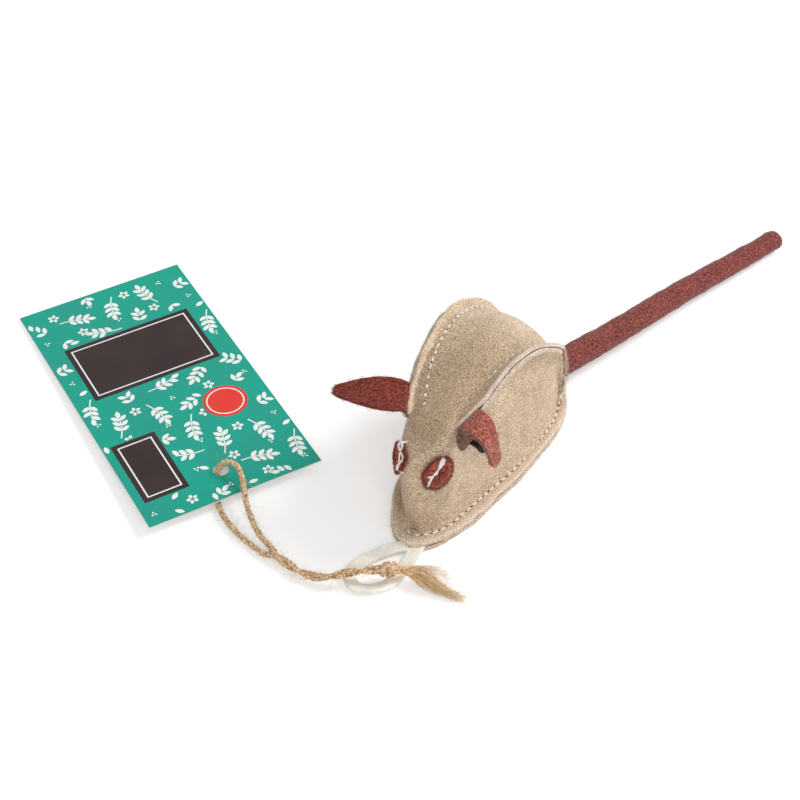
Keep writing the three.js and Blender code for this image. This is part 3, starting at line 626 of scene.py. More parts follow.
# The left ear's near-black extra tone is painted shade on the sheet under its front edge, and its
# inner tone is also painted shade on its curl
red_ear = suede_material("red_ear_suede", (116, 50, 42), (168, 90, 76), (208, 134, 116),
                         grain=0.55, even=0.16, worn=((186, 140, 128), (238, 204, 192)),
                         inner=((84, 56, 46), (140, 102, 86)), deep=((14, 8, 6), (34, 20, 15)))
white_suede = suede_material("lace_suede", (246, 232, 212), (255, 250, 240), (255, 255, 250),
                             grain=0.4, nap=0.06)
thread = thread_material("white_thread", (222, 210, 198), (253, 250, 245))
jute = jute_material("jute", (136, 98, 62), (216, 180, 136), (250, 226, 190))
jute_gold = jute_material("frayed_jute", (186, 134, 74), (236, 190, 130), (255, 226, 178),
                          pale=(255, 246, 226))
jute_pale = jute_material("jute_fibres", (190, 154, 104), (224, 198, 154), (246, 232, 204))
filling = jute_material("filling_fibre", (200, 196, 186), (226, 222, 214), (244, 242, 236))
# Painted shade for the stitch holes
hole_shade = suede_material("stitch_holes", (34, 24, 16), (56, 42, 30), (84, 64, 48))


# Where the mouse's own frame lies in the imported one
def sewn_outline(count):
    rows = np.array([(across * sewn_half_width, y * sewn_length, wide * flange_width)
                     for y, across, wide in outline_shares])
    mirrored = rows[1:-1][::-1] * [-1, 1, 1]
    line = spline(np.vstack([rows, mirrored]), True)
    return along(line, np.arange(count) / count)


def outline_moved(outline, share=0.0, distance=0.0, z=rim_top):
    """The sewn outline moved outward by a share of the flange and a distance."""
    ways = np.roll(outline, -1, 0) - np.roll(outline, 1, 0)
    out = unit(np.stack([ways[:, 1], -ways[:, 0]], -1))
    moved = outline[:, :2] + out * (outline[:, 2:] * share + np.reshape(distance, (-1, 1)))
    return placed(np.column_stack([moved, np.broadcast_to(z, len(moved))]))


def frame_offset():
    low, high = (np.array(corner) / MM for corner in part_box("base_panel"))
    ring = outline_moved(sewn_outline(76), 1)
    middle = (ring.min(0) + ring.max(0)) / 2
    return np.array([*((low + high) / 2 - middle)[:2], 0])


offset = frame_offset()
outline = sewn_outline(640)
dart_line = along(spline([(across * dart_half_width, y * sewn_length, rim_top + up * back_height)
                          for y, across, up in dart_shares]), np.linspace(0, 1, 600))


def dart_frames(shares):
    """Root and edge of the left dart flange with the ways along, off and across it."""
    edge = along(dart_line, shares)
    ahead = along(dart_line, np.minimum(1, np.asarray(shares) + 1e-3))
    behind = along(dart_line, np.maximum(0, np.asarray(shares) - 1e-3))
    on = unit(ahead - behind)
    off_back = unit(np.stack([0 * on[:, 0], -on[:, 2], on[:, 1]], -1))
    out = off_back + [1, 0, 0]
    out = unit(out - on * (out * on).sum(-1, keepdims=True))
    return {"root": edge - out * dart_flange, "edge": edge, "along": on, "out": out,
            "across": np.cross(on, out)}


# The body's skin
cover_rows = 300
wall_columns = 54
back_columns = 44
seam_pull = 2.3  # how far the suede is drawn up into a dart seam
back_reach = {1: 1.8, -1: 7.5}  # how far from the seam that shows, left and right
flank_reach = {1: 4.5, -1: 4.5}
seam_bury = 1.1  # half the width that the flange hides
pucker_share = 0.08
seam_ends = 0.05, 0.04  # shares of the seam in which the pull grows and fades
section_steps = 70
rim_pull = 0.8
rim_pull_reach = 1.6


def even_columns(points, count):
    """Each row of points again, evenly spaced."""
    return np.stack([along(row, np.linspace(0, 1, count + 1)) for row in points])


def half_cover():
    """The left half of the straight cover: points in rows from the rim to the back's middle."""
    at = np.linspace(0, len(cover_row_shares) - 1, cover_rows)
    rim_y, top, up, power, wider, seam, body = smooth_table(cover_row_shares, at).T
    seam, body = np.clip(seam, 0, 1), np.clip(body, 0, 1)
    left = outline[: len(outline) // 2 + 1]
    rim_y = np.clip(rim_y, 0, 1) * sewn_length
    rim_x = np.interp(rim_y, left[:, 1], left[:, 0])
    dart = dart_frames(seam)
    root = dart["root"]
    top_y, top_z = top * sewn_length, rim_top + np.maximum(0, up) * back_height
    rising = np.linspace(0, 1, section_steps)
    wall = np.concatenate([rising, np.ones(section_steps)])[None]
    back = np.concatenate([np.zeros(section_steps), rising])[None]

    def column(values):
        return values[:, None]

    turn = wall * head_wall_share + back * (1 - head_wall_share)
    rise = np.sin(turn * math.pi / 2)
    power = column(power)
    head_x = column(rim_x) * (1 - rise ** power) ** (1 / power) * (1 + column(wider) * rise)
    head = np.stack([
        head_x,
        column(rim_y) + (column(top_y) - column(rim_y)) * rise,
        rim_top + (column(top_z) - rim_top) * rise,
    ], -1)
    rim = np.stack([rim_x, rim_y, np.full(cover_rows, rim_top)], -1)[:, None]
    flank = rim + (root[:, None] - rim) * wall[..., None]
    tall = np.minimum(1, (root[:, 2] - rim_top) / sewn_half_width)
    flank[..., 0] += wall_bulge * column(tall) * 4 * wall * (1 - wall)
    arch = 1 - (1 - back) ** 2
    trunk = np.stack([
        flank[..., 0] * (1 - back),
        flank[..., 1] + (column(top_y) - flank[..., 1]) * arch,
        flank[..., 2] + (column(top_z) - flank[..., 2]) * arch,
    ], -1)
    points = head + (trunk - head) * body[:, None, None]
    points[:, -1, 0] = 0
    walls = even_columns(points[:, :section_steps], wall_columns)
    backs = even_columns(points[:, section_steps:], back_columns)
    return np.concatenate([walls, backs[:, 1:]], 1), seam, body, dart


def pulled_to_seam(half, seam, body, dart, side):
    """Draws the suede up along the dart seam, the way a sewn seam pulls it."""
    run = np.array([lengths(row) for row in half])
    past = run - run[:, wall_columns:wall_columns + 1]
    reach = np.where(past > 0, back_reach[side], flank_reach[side])
    share = np.clip(1 - np.maximum(0, abs(past) - seam_bury) / reach, 0, 1)
    grown = np.clip(seam / seam_ends[0], 0, 1) * np.clip((1 - seam) / seam_ends[1], 0, 1) * body
    pucker = 1 + pucker_share * np.sin(lengths(dart["root"]) * 2 * math.pi / stitch_pitch)
    pull = seam_pull * share ** 1.8 * (grown * pucker)[:, None]
    return half + dart["out"][:, None] * pull[..., None]


def drawn_to_rim(half):
    """The foot of the wall turns outward a little into the sewn rim."""
    down = half[..., 2] - rim_top
    share = np.clip(1 - down / rim_pull_reach, 0, 1) ** 2
    out = unit(half[:, :1] * [1, 0, 0] + [0.001, 0, 0])
    return half + out * (share * rim_pull)[..., None]


def out_of_socket(points, room):
    """Moves points out of the round room that the tail's root turns in."""
    off = points - tail_middle
    far = np.linalg.norm(off, axis=-1, keepdims=True)
    inside = far < room
    return np.where(inside, tail_middle + off / np.maximum(far, 1e-6) * room, points)


tail_middle = placed([[tail_side, sewn_length + tail_flange - tail_inset, rim_top]])[0]
tail_middle[2] = rim_bottom + tail_root_radius
socket_radius = tail_root_radius + socket_gap


def cover_grid(inset=0.0, bumps=0.22):
    half, seam, body, dart = half_cover()
    left, right = (drawn_to_rim(pulled_to_seam(half, seam, body, dart, side))
                   for side in (1, -1))
    whole = placed(np.concatenate([left, right[:, -2::-1] * [-1, 1, 1]], 1))
    normals = grid_normals(whole)
    inward = placed([[0, sewn_length / 2, back_height / 3]])[0] - whole
    normals *= np.sign(-(normals * inward).sum(-1, keepdims=True))
    whole = whole + normals * (uneven(whole, 16, 3) * bumps + uneven(whole, 6, 4) * bumps / 3
                               - inset)[..., None]
    return out_of_socket(whole, socket_radius), normals


shell_share = 0.8  # of the suede's thickness
weld_reach = 0.02
upward_least, upward_range = 0.55, 0.3  # how level the suede has to lie to be shaded
# Along the back: where painted shade makes the suede darker, and painted light paler, and by what
# share
back_painted_shade = (2, 12, 26, 38, 54), (0.2, 0.62, 0.54, 0.34, 0)
back_painted_light = (46, 62), (0, 0.34)


def cover_piece():
    grid, normals = cover_grid()
    left, right = grid[:, :1].copy(), grid[:, -1:].copy()
    left[..., 2] = right[..., 2] = rim_bottom + touch
    grid = np.concatenate([left, grid, right], 1)
    rows, columns = grid.shape[:2]
    faces = [tuple(face) for face in grid_faces(rows, columns)]
    level = np.abs(np.pad(normals[..., 2], ((0, 0), (1, 1))))
    upward = np.clip((level - upward_least) / upward_range, 0, 1)
    # Painted shade towards the front of the back and painted light on its rear, only where the
    # suede lies level
    dark, pale = (upward * np.interp(grid[..., 1], *shades) for shades in (back_painted_shade, back_painted_light))
    made = piece("cover_suede", (grid.reshape(-1, 3), faces), beige, None, "beige_suede",
                 worn=pale.ravel(), deep=dark.ravel())
    shell = made.modifiers.new("thickness", "SOLIDIFY")
    shell.thickness = suede * shell_share * MM
    shell.offset = 1
    weld = made.modifiers.new("nose", "WELD")
    weld.merge_threshold = weld_reach * MM
    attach(made, "mouse_body")
    return made


# Rim and base
edge_steps = 5
flat_steps = 12


def rounded_section(inner, low, high):
    """A layer's section as (share of flange, distance, height) going round it once."""
    turns = np.linspace(0, math.pi / 2, edge_steps)
    points = [(0, inner, high), (0, inner / 2, high)]
    points += [(share, -edge_round, high) for share in np.linspace(0.04, 1, flat_steps)]
    points += [(1, -edge_round + edge_round * math.sin(t),
                high - edge_round + edge_round * math.cos(t)) for t in turns]
    points += [(1, -edge_round + edge_round * math.cos(t),
                low + edge_round - edge_round * math.sin(t)) for t in turns]
    points += [(share, -edge_round, low) for share in np.linspace(1, 0.04, flat_steps)]
    points += [(0, inner / 2, low), (0, inner, low)]
    return points


rim_inner = -1.4
rim_thread_share = 0.3
cheek_middle_y = 9  # where the rim stands up beside the right cheek
cheek_reach = 9
cheek_lift = 1.7
cheek_side = 4  # how far to the side the lift has its whole height
rim_ripple, rim_ripple_size = 0.16, 7
rim_wave = 0.25
rim_wave_size = 22
rim_dimple = 0.26
dimple_reach = 1.1


def rim_rings(low, high, seed):
    section = rounded_section(rim_inner, low, high)
    flat = np.column_stack([outline[:, :2], np.zeros(len(outline))])
    ripple = uneven(flat, rim_ripple_size, seed) * rim_ripple
    rings = np.array([outline_moved(outline, share, distance + ripple * share, z)
                      for share, distance, z in section]).transpose(1, 0, 2)
    shares = np.array([share for share, _, _ in section])[None]
    cheek = np.exp(-(((rings[..., 1] - cheek_middle_y) / cheek_reach) ** 2))
    cheek = cheek * (rings[..., 0] < 0) * np.clip(-rings[..., 0] / cheek_side, 0, 1)
    wave = uneven(rings * [1, 1, 0], rim_wave_size, seed + 5) * rim_wave
    rings[..., 2] += shares ** 2 * (cheek_lift * cheek + np.maximum(0, wave))
    return rings


def rim_line(share, z):
    """The rim's line at a share of the flange, from one side of the tail to the other."""
    line = outline_moved(outline, share, 0, z)
    rear = len(line) // 2
    line = np.roll(line, -rear, 0)
    away = np.linalg.norm(line[:, :2] - tail_middle[:2], axis=1)
    return line[away > socket_radius + 4 * thread_radius]


def flange_wear(shares):
    """How pale the flange is at shares of its width: most at its cut edge."""
    return 0.85 * np.clip((np.array(shares) - 0.45) / (1 - 0.45), 0, 1) ** 1.3


def rim_piece():
    rings = rim_rings(rim_bottom, rim_top, 21)
    seam = rim_line(rim_thread_share, rim_top)
    rings = dimpled(rings, seam, rim_dimple, dimple_reach)
    rear = len(outline) // 2
    rings = np.roll(rings, -rear, 0)
    away = np.linalg.norm(rings[:, len(rings[0]) // 2, :2] - tail_middle[:2], axis=1)
    rings = out_of_socket(rings[away > socket_radius], socket_radius)
    return piece("rim_suede", loft(rings), beige, "mouse_body", "beige_suede",
                 worn=flange_wear([row[0] for row in rounded_section(0, 0, 1)]))


def dimpled(points, seam, depth, reach):
    """Presses points down beside a seam's thread."""
    flat = points.reshape(-1, 3)
    near = np.array([np.min(((seam[:, :2] - p[:2]) ** 2).sum(1)) for p in flat]) ** 0.5
    drop = depth * np.clip(1 - near / reach, 0, 1) ** 1.5
    top = flat[:, 2] > (rim_bottom + rim_top) / 2
    flat = flat - np.column_stack([0 * drop, 0 * drop, drop * top])
    return flat.reshape(points.shape)


base_lowest = 0.02
base_ripple, base_ripple_size = 0.14, 6
base_groove = 0.42  # how deep the lower thread lies


def base_piece():
    section = rounded_section(rim_inner, base_lowest, suede)
    groove = [(rim_thread_share, d, base_lowest + h)
              for d, h in ((0.75, 0), (0.5, 0.22), (0, base_groove), (-0.5, 0.22), (-0.75, 0))]
    low_part = [row for row in section if row[2] < 0.1 and row[0] > rim_thread_share + 0.2]
    high_part = [row for row in section if row[2] >= 0.1]
    rows = high_part + low_part + groove + [(0, rim_inner, base_lowest)]
    flat = np.column_stack([outline[:, :2], np.ones(len(outline))])
    ripple = uneven(flat, base_ripple_size, 31) * base_ripple
    rings = np.array([outline_moved(outline, share, distance + ripple * share, z)
                      for share, distance, z in rows])
    return piece("base_suede", loft(rings), beige, "mouse_body", "beige_suede",
                 worn=flange_wear([row[0] for row in rows]))


# Stitches
stitch_steps = 9
stitch_shift = 0.12  # how far each one may lie along its seam from its even place
stitch_slant = 0.16
rim_hole_radii = 0.3, 0.6
hole_depth = 0.2
hole_rise = 0.02  # how far a hole's mark stands off the suede


def stitch_parts(seam, ups, length=1.9, rise=0.34, radius=thread_radius, seed=5):
    """Short threads along a seam line, each rising out of a hole and going down the next."""
    run = lengths(seam)
    total = run[-1]
    count = int(total / stitch_pitch)
    jitter = np.random.default_rng(seed)
    parts, holes = [], []
    for k in range(count):
        start = (k + 0.5 - length / stitch_pitch / 2) * total / count
        start += jitter.uniform(-stitch_shift, stitch_shift)
        at = np.clip(start + np.linspace(0, 1, stitch_steps) * length, 0, total)
        line = read_at(at, run, seam)
        up = unit(read_at(at, run, ups))
        side = np.cross(unit(np.gradient(line, axis=0)), up)
        arc = np.sin(np.linspace(0, math.pi, stitch_steps)) ** 0.6
        line = line + up * (arc * rise - radius * 1.2)[:, None]
        slant = jitter.uniform(-stitch_slant, stitch_slant)
        line = line + side * np.linspace(-1, 1, stitch_steps)[:, None] * slant
        parts += strands(line, radius, 2, 1.3, k)
        holes += [line[0] + up[0] * radius * 1.15, line[-1] + up[-1] * radius * 1.15]
    return parts, np.array(holes)


def strands(line, radius, count, pitch, seed, sides=6, fuzz=0.0):
    """A line of twisted strands: tubes that wind round one another."""
    line = np.asarray(line, float)
    _, normals, others = carried(line)
    run = lengths(line)
    parts = []
    radius = np.broadcast_to(radius, len(line))
    each = radius * (0.62 if count == 2 else 0.52)
    for k in range(count):
        turn = run / pitch * 2 * math.pi + 2 * math.pi * k / count + seed
        off = turned_ways(normals, others, turn)
        wide = each * (1 + fuzz * uneven(line + k * 9, 1.6, seed + k))
        parts.append(tube(line + off * (radius - each)[:, None], wide, sides))
    return parts


def hole_marks(name, holes, ups, radii):
    """Small dents where the thread goes through the suede, dark as painted shade in the holes."""
    parts = []
    for point, up, radius in zip(holes, ups, radii):
        side = unit(np.cross(up, [0.3, 0.5, 0.8]))
        other = np.cross(up, side)
        ring = np.stack([side * math.cos(t) + other * math.sin(t) for t in circle(8)])
        parts.append(loft([point + ring * radius * 0.5 - up * hole_depth,
                           point + ring * radius + up * hole_rise]))
    return piece(name, joined(parts), hole_shade, "mouse_body", "beige_suede")


def upward_ways(points):
    return np.tile([0, 0, 1.0], (len(points), 1))


def rim_stitches():
    seam = spaced(rim_line(rim_thread_share, rim_top - 0.2), 0.2)
    parts, holes = stitch_parts(seam, upward_ways(seam))
    made = piece("rim_stitches", joined(parts), thread, "mouse_body", "white_thread")
    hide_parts("rim_thread")
    hole_marks("rim_stitch_holes", holes, upward_ways(holes),
               np.random.default_rng(9).uniform(*rim_hole_radii, len(holes)))
    under = spaced(rim_line(rim_thread_share, base_groove), 0.2)
    parts, _ = stitch_parts(under, -upward_ways(under), rise=0.1, radius=0.2, seed=8)
    piece("base_stitches", joined(parts), thread, "mouse_body", "white_thread")


# Dart flanges
dart_rings = 300
flange_open = 0.14  # half the opening between the two layers at their edges
ear_open = 0.5  # the same where an ear is sewn in
flange_bury = 1.4
layer_columns = 12
gape_shares = (0.63, 0.7, 0.95, 0.99)  # where the layers stand apart behind the left flank
gape = 1.0
gape_cut = 3.0  # how much shorter the flank's layer is there
ear_open_end = 0.03  # share of the flange in which it closes again behind the ear
flank_shorter = 0.12
flange_ripple, flange_ripple_size = 0.26, 5
layer_gap = 0.03
flange_front = {1: (0.1, 0.075), -1: (0.8, 0.03)}  # how low it starts, and how far that goes
flange_worn = {1: 0.9, -1: 0.4}


def ramped(values, shares):
    """0 outside four shares, 1 between the middle two, changing smoothly between."""
    a, b, c, d = shares
    rise = np.clip((values - a) / (b - a), 0, 1)
    fall = np.clip((d - values) / (d - c), 0, 1)
    both = np.minimum(rise, fall)
    return both * both * (3 - 2 * both)


def dart_layer(side, face):
    """One layer of a dart flange; face is -1 on the back's side and 1 on the flank's."""
    shares = np.linspace(0, 1, dart_rings)
    dart = dart_frames(shares)
    ears = np.clip(1 - (shares - ear_root_end_share) / ear_open_end, 0, 1)
    opening = flange_open + (ear_open - flange_open) * ears
    ripple = uneven(dart["edge"] + face * 7, flange_ripple_size, 40 + face + side) * flange_ripple
    apart = ramped(shares, gape_shares) * (side > 0)
    width = dart_flange + ripple - flank_shorter * (face > 0) - gape_cut * apart * (face > 0)
    low_end, low_reach = flange_front[side]
    width = width * (low_end + (1 - low_end) * np.clip(shares / low_reach, 0, 1) ** 0.7)
    turns = np.linspace(0, math.pi / 2, edge_steps)
    rings = []
    for i in range(dart_rings):
        wide, gap = width[i], opening[i]
        offs = np.linspace(-flange_bury, wide - edge_round, layer_columns)
        section = [(off, suede + 0.06 * gap) for off in offs]
        section += [(wide - edge_round + edge_round * math.sin(t),
                     suede - edge_round + edge_round * math.cos(t)) for t in turns[1:]]
        section += [(wide - edge_round / 2 + edge_round / 2 * math.cos(t),
                     gap + edge_round / 2 - edge_round / 2 * math.sin(t)) for t in turns]
        section += [(off, layer_gap + (gap - layer_gap) * max(0, off / wide) ** 2)
                    for off in offs[::-1]]
        spread = gape * apart[i] * (face < 0)
        rings.append([
            dart["root"][i] + dart["out"][i] * off
            + dart["across"][i] * face * (aside + spread)
            for off, aside in section
        ])
    rings = on_side(np.array(rings), side)
    return out_of_socket(rings, socket_radius)


def dart_pieces(name, side):
    edge = layer_columns - 1
    columns = np.arange(2 * layer_columns + 2 * edge_steps - 1)
    middle = edge + edge_steps
    worn = flange_worn[side] * np.clip(1.6 - abs(columns - middle) / edge_steps, 0, 1)
    inner = 0.9 * np.clip((columns - middle - edge_steps + 1) / 2, 0, 1)
    made = []
    for face, layer in ((-1, "back"), (1, "flank")):
        made.append(piece(f"{name}_{layer}_flange", loft(dart_layer(side, face)), beige,
                          "mouse_body", "beige_suede", worn=worn, inner=inner))
    return made


# Side of the toy and face of its flange: the stitches' height above the root, their size,
# the size of their holes, and the shares of the flange between which they run
dart_seams = {
    (1, -1): (-0.02, 0.13, 0.14, 0.22, 0.9), (1, 1): (-0.02, 0.14, 0.16, 0.16, 0.6),
    (-1, -1): (0.7, 0.36, 0.3, 0.02, 0.93), (-1, 1): (0.3, 0.28, 0.3, 0.14, 0.93),
}
front_stitch_share = 0.17  # the bigger stitches at the front of the right flange
front_stitch_radius = 0.52
dart_stitch_length = 1.7
dart_stitch_rise = 0.34
ray_start = 7  # how far off the seam the rays start
ray_reach = 0.02  # metres
largest_step = 1.2  # a longer one between two hits starts a new run
least_hits = 12


def met_by_rays(tree, starts, ends):
    """Where rays meet the suede, in unbroken runs of points and the ways off it."""
    runs, before = [], None
    for start, end in zip(starts, ends):
        way = unit(end - start)
        hit, normal = tree.ray_cast(Vector((start + offset) * MM), Vector(way), ray_reach)[:2]
        if hit is None:
            before = None
            continue
        point, normal = np.array(hit) / MM - offset, np.array(normal)
        if before is None or np.linalg.norm(point - before) > largest_step:
            runs.append(([], []))
        runs[-1][0].append(point)
        runs[-1][1].append(normal * (-1 if normal @ way > 0 else 1))
        before = point
    return [(smoothed(np.array(points)), smoothed(np.array(ups)))
            for points, ups in runs if len(points) > least_hits]


def dart_stitches(name, side, tree):
    """Stitches along both sides of a flange, on the suede as rays from each side meet it."""
    pieces, marks = [], []
    for face in (-1, 1):
        height, radius, hole, start, end = dart_seams[side, face]
        dart = dart_frames(np.linspace(start, end, 300))
        root = dart["root"] + dart["out"] * height
        far = on_side(root + dart["across"] * face * ray_start, side)
        for k, (seam, ups) in enumerate(met_by_rays(tree, far, on_side(root, side))):
            big = front_stitch_share if side < 0 and face < 0 and k == 0 else 0
            split = int(len(seam) * big)
            for part, size in ((slice(0, split), front_stitch_radius),
                               (slice(split, None), radius)):
                if len(seam[part]) < least_hits:
                    continue
                parts, holes = stitch_parts(seam[part], ups[part], dart_stitch_length,
                                            dart_stitch_rise, size, 60 + face)
                pieces += parts
                for point in holes:
                    nearest = int(np.argmin(((seam - point) ** 2).sum(1)))
                    marks.append((point, unit(ups[nearest]), hole))
    if side > 0:
        pieces += tack_stitch()
    made = piece(f"{name}_dart_stitches", joined(pieces), thread, "mouse_body", "white_thread")
    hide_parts(f"{name}_dart_thread")
    hole_marks(f"{name}_dart_stitch_holes", *zip(*marks))


def tack_stitch():
    """The thread that holds the open layers to the rim behind the left flank."""
    dart = dart_frames([0.955, 1.0])
    high = dart["edge"][0] + dart["across"][0] * 0.6
    low = dart["root"][1] + dart["across"][1] * 1.2
    line = on_side(np.linspace(high, low, 20), 1)
    return strands(line, 0.42, 2, 1.5, 4)


# Ears
def ear_frame():
    front, back = (dart_frames([share]) for share in (0, ear_root_end_share))
    across = unit(back["edge"][0] - front["edge"][0])
    out = front["out"][0] + back["out"][0]
    out = unit(out - across * (out @ across))
    down = np.cross(across, out)
    middle = (front["edge"][0] + back["edge"][0]) / 2 + out * (touch + suede / 2)
    return middle, across, out, down


ear_rows = 64
ear_columns = 46
ear_tuck = 1.7  # how far the root goes in between the two layers
# Places across the leaf, from 0 to 1, closer together near its edges
ear_spacing = ((1 - np.cos(np.linspace(0, math.pi, ear_columns))) / 2 * 0.5
               + np.linspace(0, 1, ear_columns) * 0.5)
ear_fuzz = {"count": 420, "wander": 0.6, "length": 0.75, "radius": 0.045, "scatter": 0.3}
ear_nap_count = 1500
ear_bumps, ear_bump_size = 0.12, 5
worn_across, worn_down = 0.035, 0.03  # shares of the leaf that its worn edge takes up
front_worn_rise, front_worn_start = 16, 14.6
shade_fold_thickness = 0.8


def ear_shares(ear):
    """Shares of the leaf's length where its rows lie, the first two between the layers."""
    first = -ear_tuck / ear["length"]
    return np.concatenate([[first, first / 2], np.linspace(0, 1, ear_rows) ** 0.9])


def ear_way(ear, shares):
    """The leaf's middle line from its root between the layers: places, and ways under it."""
    middle, across, out, down = ear_frame()

    def angle(share):
        bent = np.clip(share / ear["bend"], 0, 1)
        return np.radians(ear["root"] + (ear["tip"] - ear["root"]) * bent)

    fine = np.linspace(-ear_tuck / ear["length"], 1, 400)
    turns = angle(fine)[:, None] * (fine[:, None] > 0)
    steps = (out * np.cos(turns) + down * np.sin(turns)) * (fine[1] - fine[0]) * ear["length"]
    line = middle - out * ear_tuck + np.cumsum(steps, 0)
    places = read_at(shares, fine, line)
    turns = angle(np.asarray(shares))[:, None]
    return places, across, down * np.cos(turns) - out * np.sin(turns)


def ear_grid(ear, side):
    """Middle points of a leaf, from its root between the layers to its tip."""
    shares = ear_shares(ear)
    places, across, under = ear_way(ear, shares)
    table = np.array(ear["rows"])
    fine = spline(table) if ear["curved"] else table
    grid = []
    for share, place, below in zip(shares, places, under):
        back, bend, front, curl = (np.interp(share, fine[:, 0], fine[:, k]) for k in (1, 2, 3, 4))
        grid.append(ear_row(place, across, below, back, bend, front, curl))
    return on_side(smoothed(np.array(grid), 1), side)


def ear_row(place, across, under, back, bend, front, curl):
    """Points from the back edge to the front one, curling under past the bend."""
    flat = back - bend
    whole = back - front
    point = place + across * back
    row = [point]
    for a, b in zip(ear_spacing, ear_spacing[1:]):
        reach = (a + b) / 2 * whole
        turn = math.radians(curl) * max(0, (reach - flat) / (whole - flat))
        step = whole * (b - a)
        point = point - across * step * math.cos(turn) + under * step * math.sin(turn)
        row.append(point)
    return row


def ear_shades(ear):
    """For each point of the leaf: how far it's past the bend, from 0 to 1, which gives its curl
    painted shade.
    """
    table = np.array(ear["rows"])
    back, bend, front = (np.interp(ear_shares(ear), table[:, 0], table[:, k]) for k in (1, 2, 3))
    reach = (back - front)[:, None] * ear_spacing - (back - bend)[:, None]
    return np.clip(reach / 0.5, 0, 1) * (bend > front)[:, None]


def shade_fold_part():
    """The part of the left ear's leaf that turns in under its front edge, near black as painted
    shade for the gap under the leaf.
    """
    table = np.array(left_shade_fold_rows)
    places, across, under = ear_way(left_ear, table[:, 0])
    t = np.linspace(0, 1, 12)
    grid = np.array([
        place + across * (near + (far - near) * t)[:, None]
        + below * (depth + 0.5 * t ** 2)[:, None]
        for place, below, (_, near, far, depth) in zip(places, under, table)
    ])
    fine = np.stack([spline(grid[:, j], steps=4) for j in range(grid.shape[1])], 1)
    return leaf(on_side(fine, 1), shade_fold_thickness, 0.3)


def border_of(grid):
    return np.vstack([grid[:, 0], grid[-1], grid[::-1, -1]])


def ear_wear(ear, rows, side):
    """How much wear the leaf shows at its points, and how much it takes its inner side's tone:
    as the inner side on its lower face, and as painted shade on the curl of its upper face.
    Upper face first.
    """
    across = np.linspace(0, 1, ear_columns)
    down = np.linspace(0, 1, rows)[:, None]
    rim = np.maximum(np.clip(1 - np.minimum(across, 1 - across) / worn_across, 0, 1)[None],
                     np.clip(1 - (1 - down) / worn_down, 0, 1))
    # On the left ear the upper face past the bend takes the inner side's brown as painted shade
    curl_shade = ear_shades(ear) * (side > 0) * ramped(1 - down, (-1, 0, 1, 1.1))
    above_worn = rim * 0.8 * (1 - curl_shade)
    front = np.clip(across * front_worn_rise - front_worn_start, 0, 1)
    below_worn = np.maximum(rim, front[None] * (side > 0))
    worn = np.concatenate([above_worn.ravel(), below_worn.ravel()])
    return worn, np.concatenate([curl_shade.ravel(), (0.75 * (1 - below_worn)).ravel()])


def ear_fibres(grid):
    """Fuzz along the leaf's edge, and nap on both of its faces."""
    edge = border_of(grid[6:])
    fuzz = fuzz_on(edge, unit(edge - grid.mean((0, 1))), **ear_fuzz)
    surface = grid[4:].reshape(-1, 3)
    ways = grid_normals(grid)[4:].reshape(-1, 3)
    picks = rng.integers(0, len(surface), ear_nap_count)
    ways = ways[picks] * rng.choice([-1, 1], (ear_nap_count, 1))
    wander = rng.normal(size=(ear_nap_count, 3)) * 0.7
    return fuzz, fibres(surface[picks] + ways * ear_thickness * 0.45, ways + wander, 0.45, 0.035)


def ear_piece(name, ear, side, material):
    grid = ear_grid(ear, side)
    bumps = uneven(grid, ear_bump_size, 70 + side) * ear_bumps
    grid = grid + grid_normals(grid) * bumps[..., None]
    worn, inner = ear_wear(ear, len(grid), side)
    parts = [leaf(grid, ear_thickness, edge_round), *ear_fibres(grid)]
    whole = sum(len(part[0]) for part in parts)
    # The left ear also gets its near-black sheet of painted shade under the front edge
    if side > 0:
        parts.append(shade_fold_part())
    points, faces = joined(parts)
    spare = np.zeros(len(points) - len(worn))
    made = piece(name, (points, faces), material, None, "red_suede",
                 worn=np.concatenate([worn, spare]), inner=np.concatenate([inner, spare]),
                 deep=np.arange(len(points)) >= whole)
    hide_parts(name.replace("_leaf", ""))
    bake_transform(made)


# Eyes
eye_rings = 16
eye_sides = 56
eye_thread_turn = {1: math.radians(50), -1: math.radians(36)}
eye_fuzz = {"count": 1500, "wander": 0.6, "length": 1.0, "radius": 0.05, "scatter": 0.25}
eye_fuzz_rise = 0.2
eye_nap = {"count": 900, "wander": 0.7, "length": 0.5, "radius": 0.045}
fuzz_worn = 0.7
skin_ray_start = 12
skin_ray_reach = 0.03  # metres
# Left and right: the disc's dome, the groove under the thread, the thread's place across,
# and the disc's size along the thread and across it
eye_shapes = {1: (0.5, 1.3, 1.1, 1.03, 0.86), -1: (0.5, 0.7, -4.1, 0.82, 1.08)}
# The thread's radius at places from its low end, -1, to its high end, 1
eye_thread_radii = (-1, -0.5, -0.15, 0, 0.2, 0.6, 1), (0.34, 0.44, 0.28, 0.42, 0.26, 0.52, 0.42)
eye_thread_size = {1: 1, -1: 0.75}


def skin_tree(*objects):
    points, faces = [], []
    for made in objects:
        count = len(points)
        points += [vertex.co.copy() for vertex in made.data.vertices]
        faces += [tuple(count + i for i in face.vertices) for face in made.data.polygons]
    return BVHTree.FromPolygons(points, faces)


def on_skin(tree, point, facing):
    start = (point + facing * skin_ray_start + offset) * MM
    hit = tree.ray_cast(Vector(start), Vector(-facing), skin_ray_reach)[0]
    if hit is None:
        hit = tree.find_nearest(Vector((point + offset) * MM))[0]
    return np.array(hit) / MM - offset


def eye_frame(side):
    """The disc's middle, and the ways off the skin, along the disc's thread and across it."""
    middle = on_side([eye_middle], side)[0]
    facing = unit(eye_facing * [side, 1, 1])
    level = unit(np.cross([0, 0, side], facing))
    up = np.cross(facing, level) * side
    turn = eye_thread_turn[side]
    thread_way = level * math.cos(turn) + up * math.sin(turn)
    return middle, facing, thread_way, np.cross(facing, thread_way)


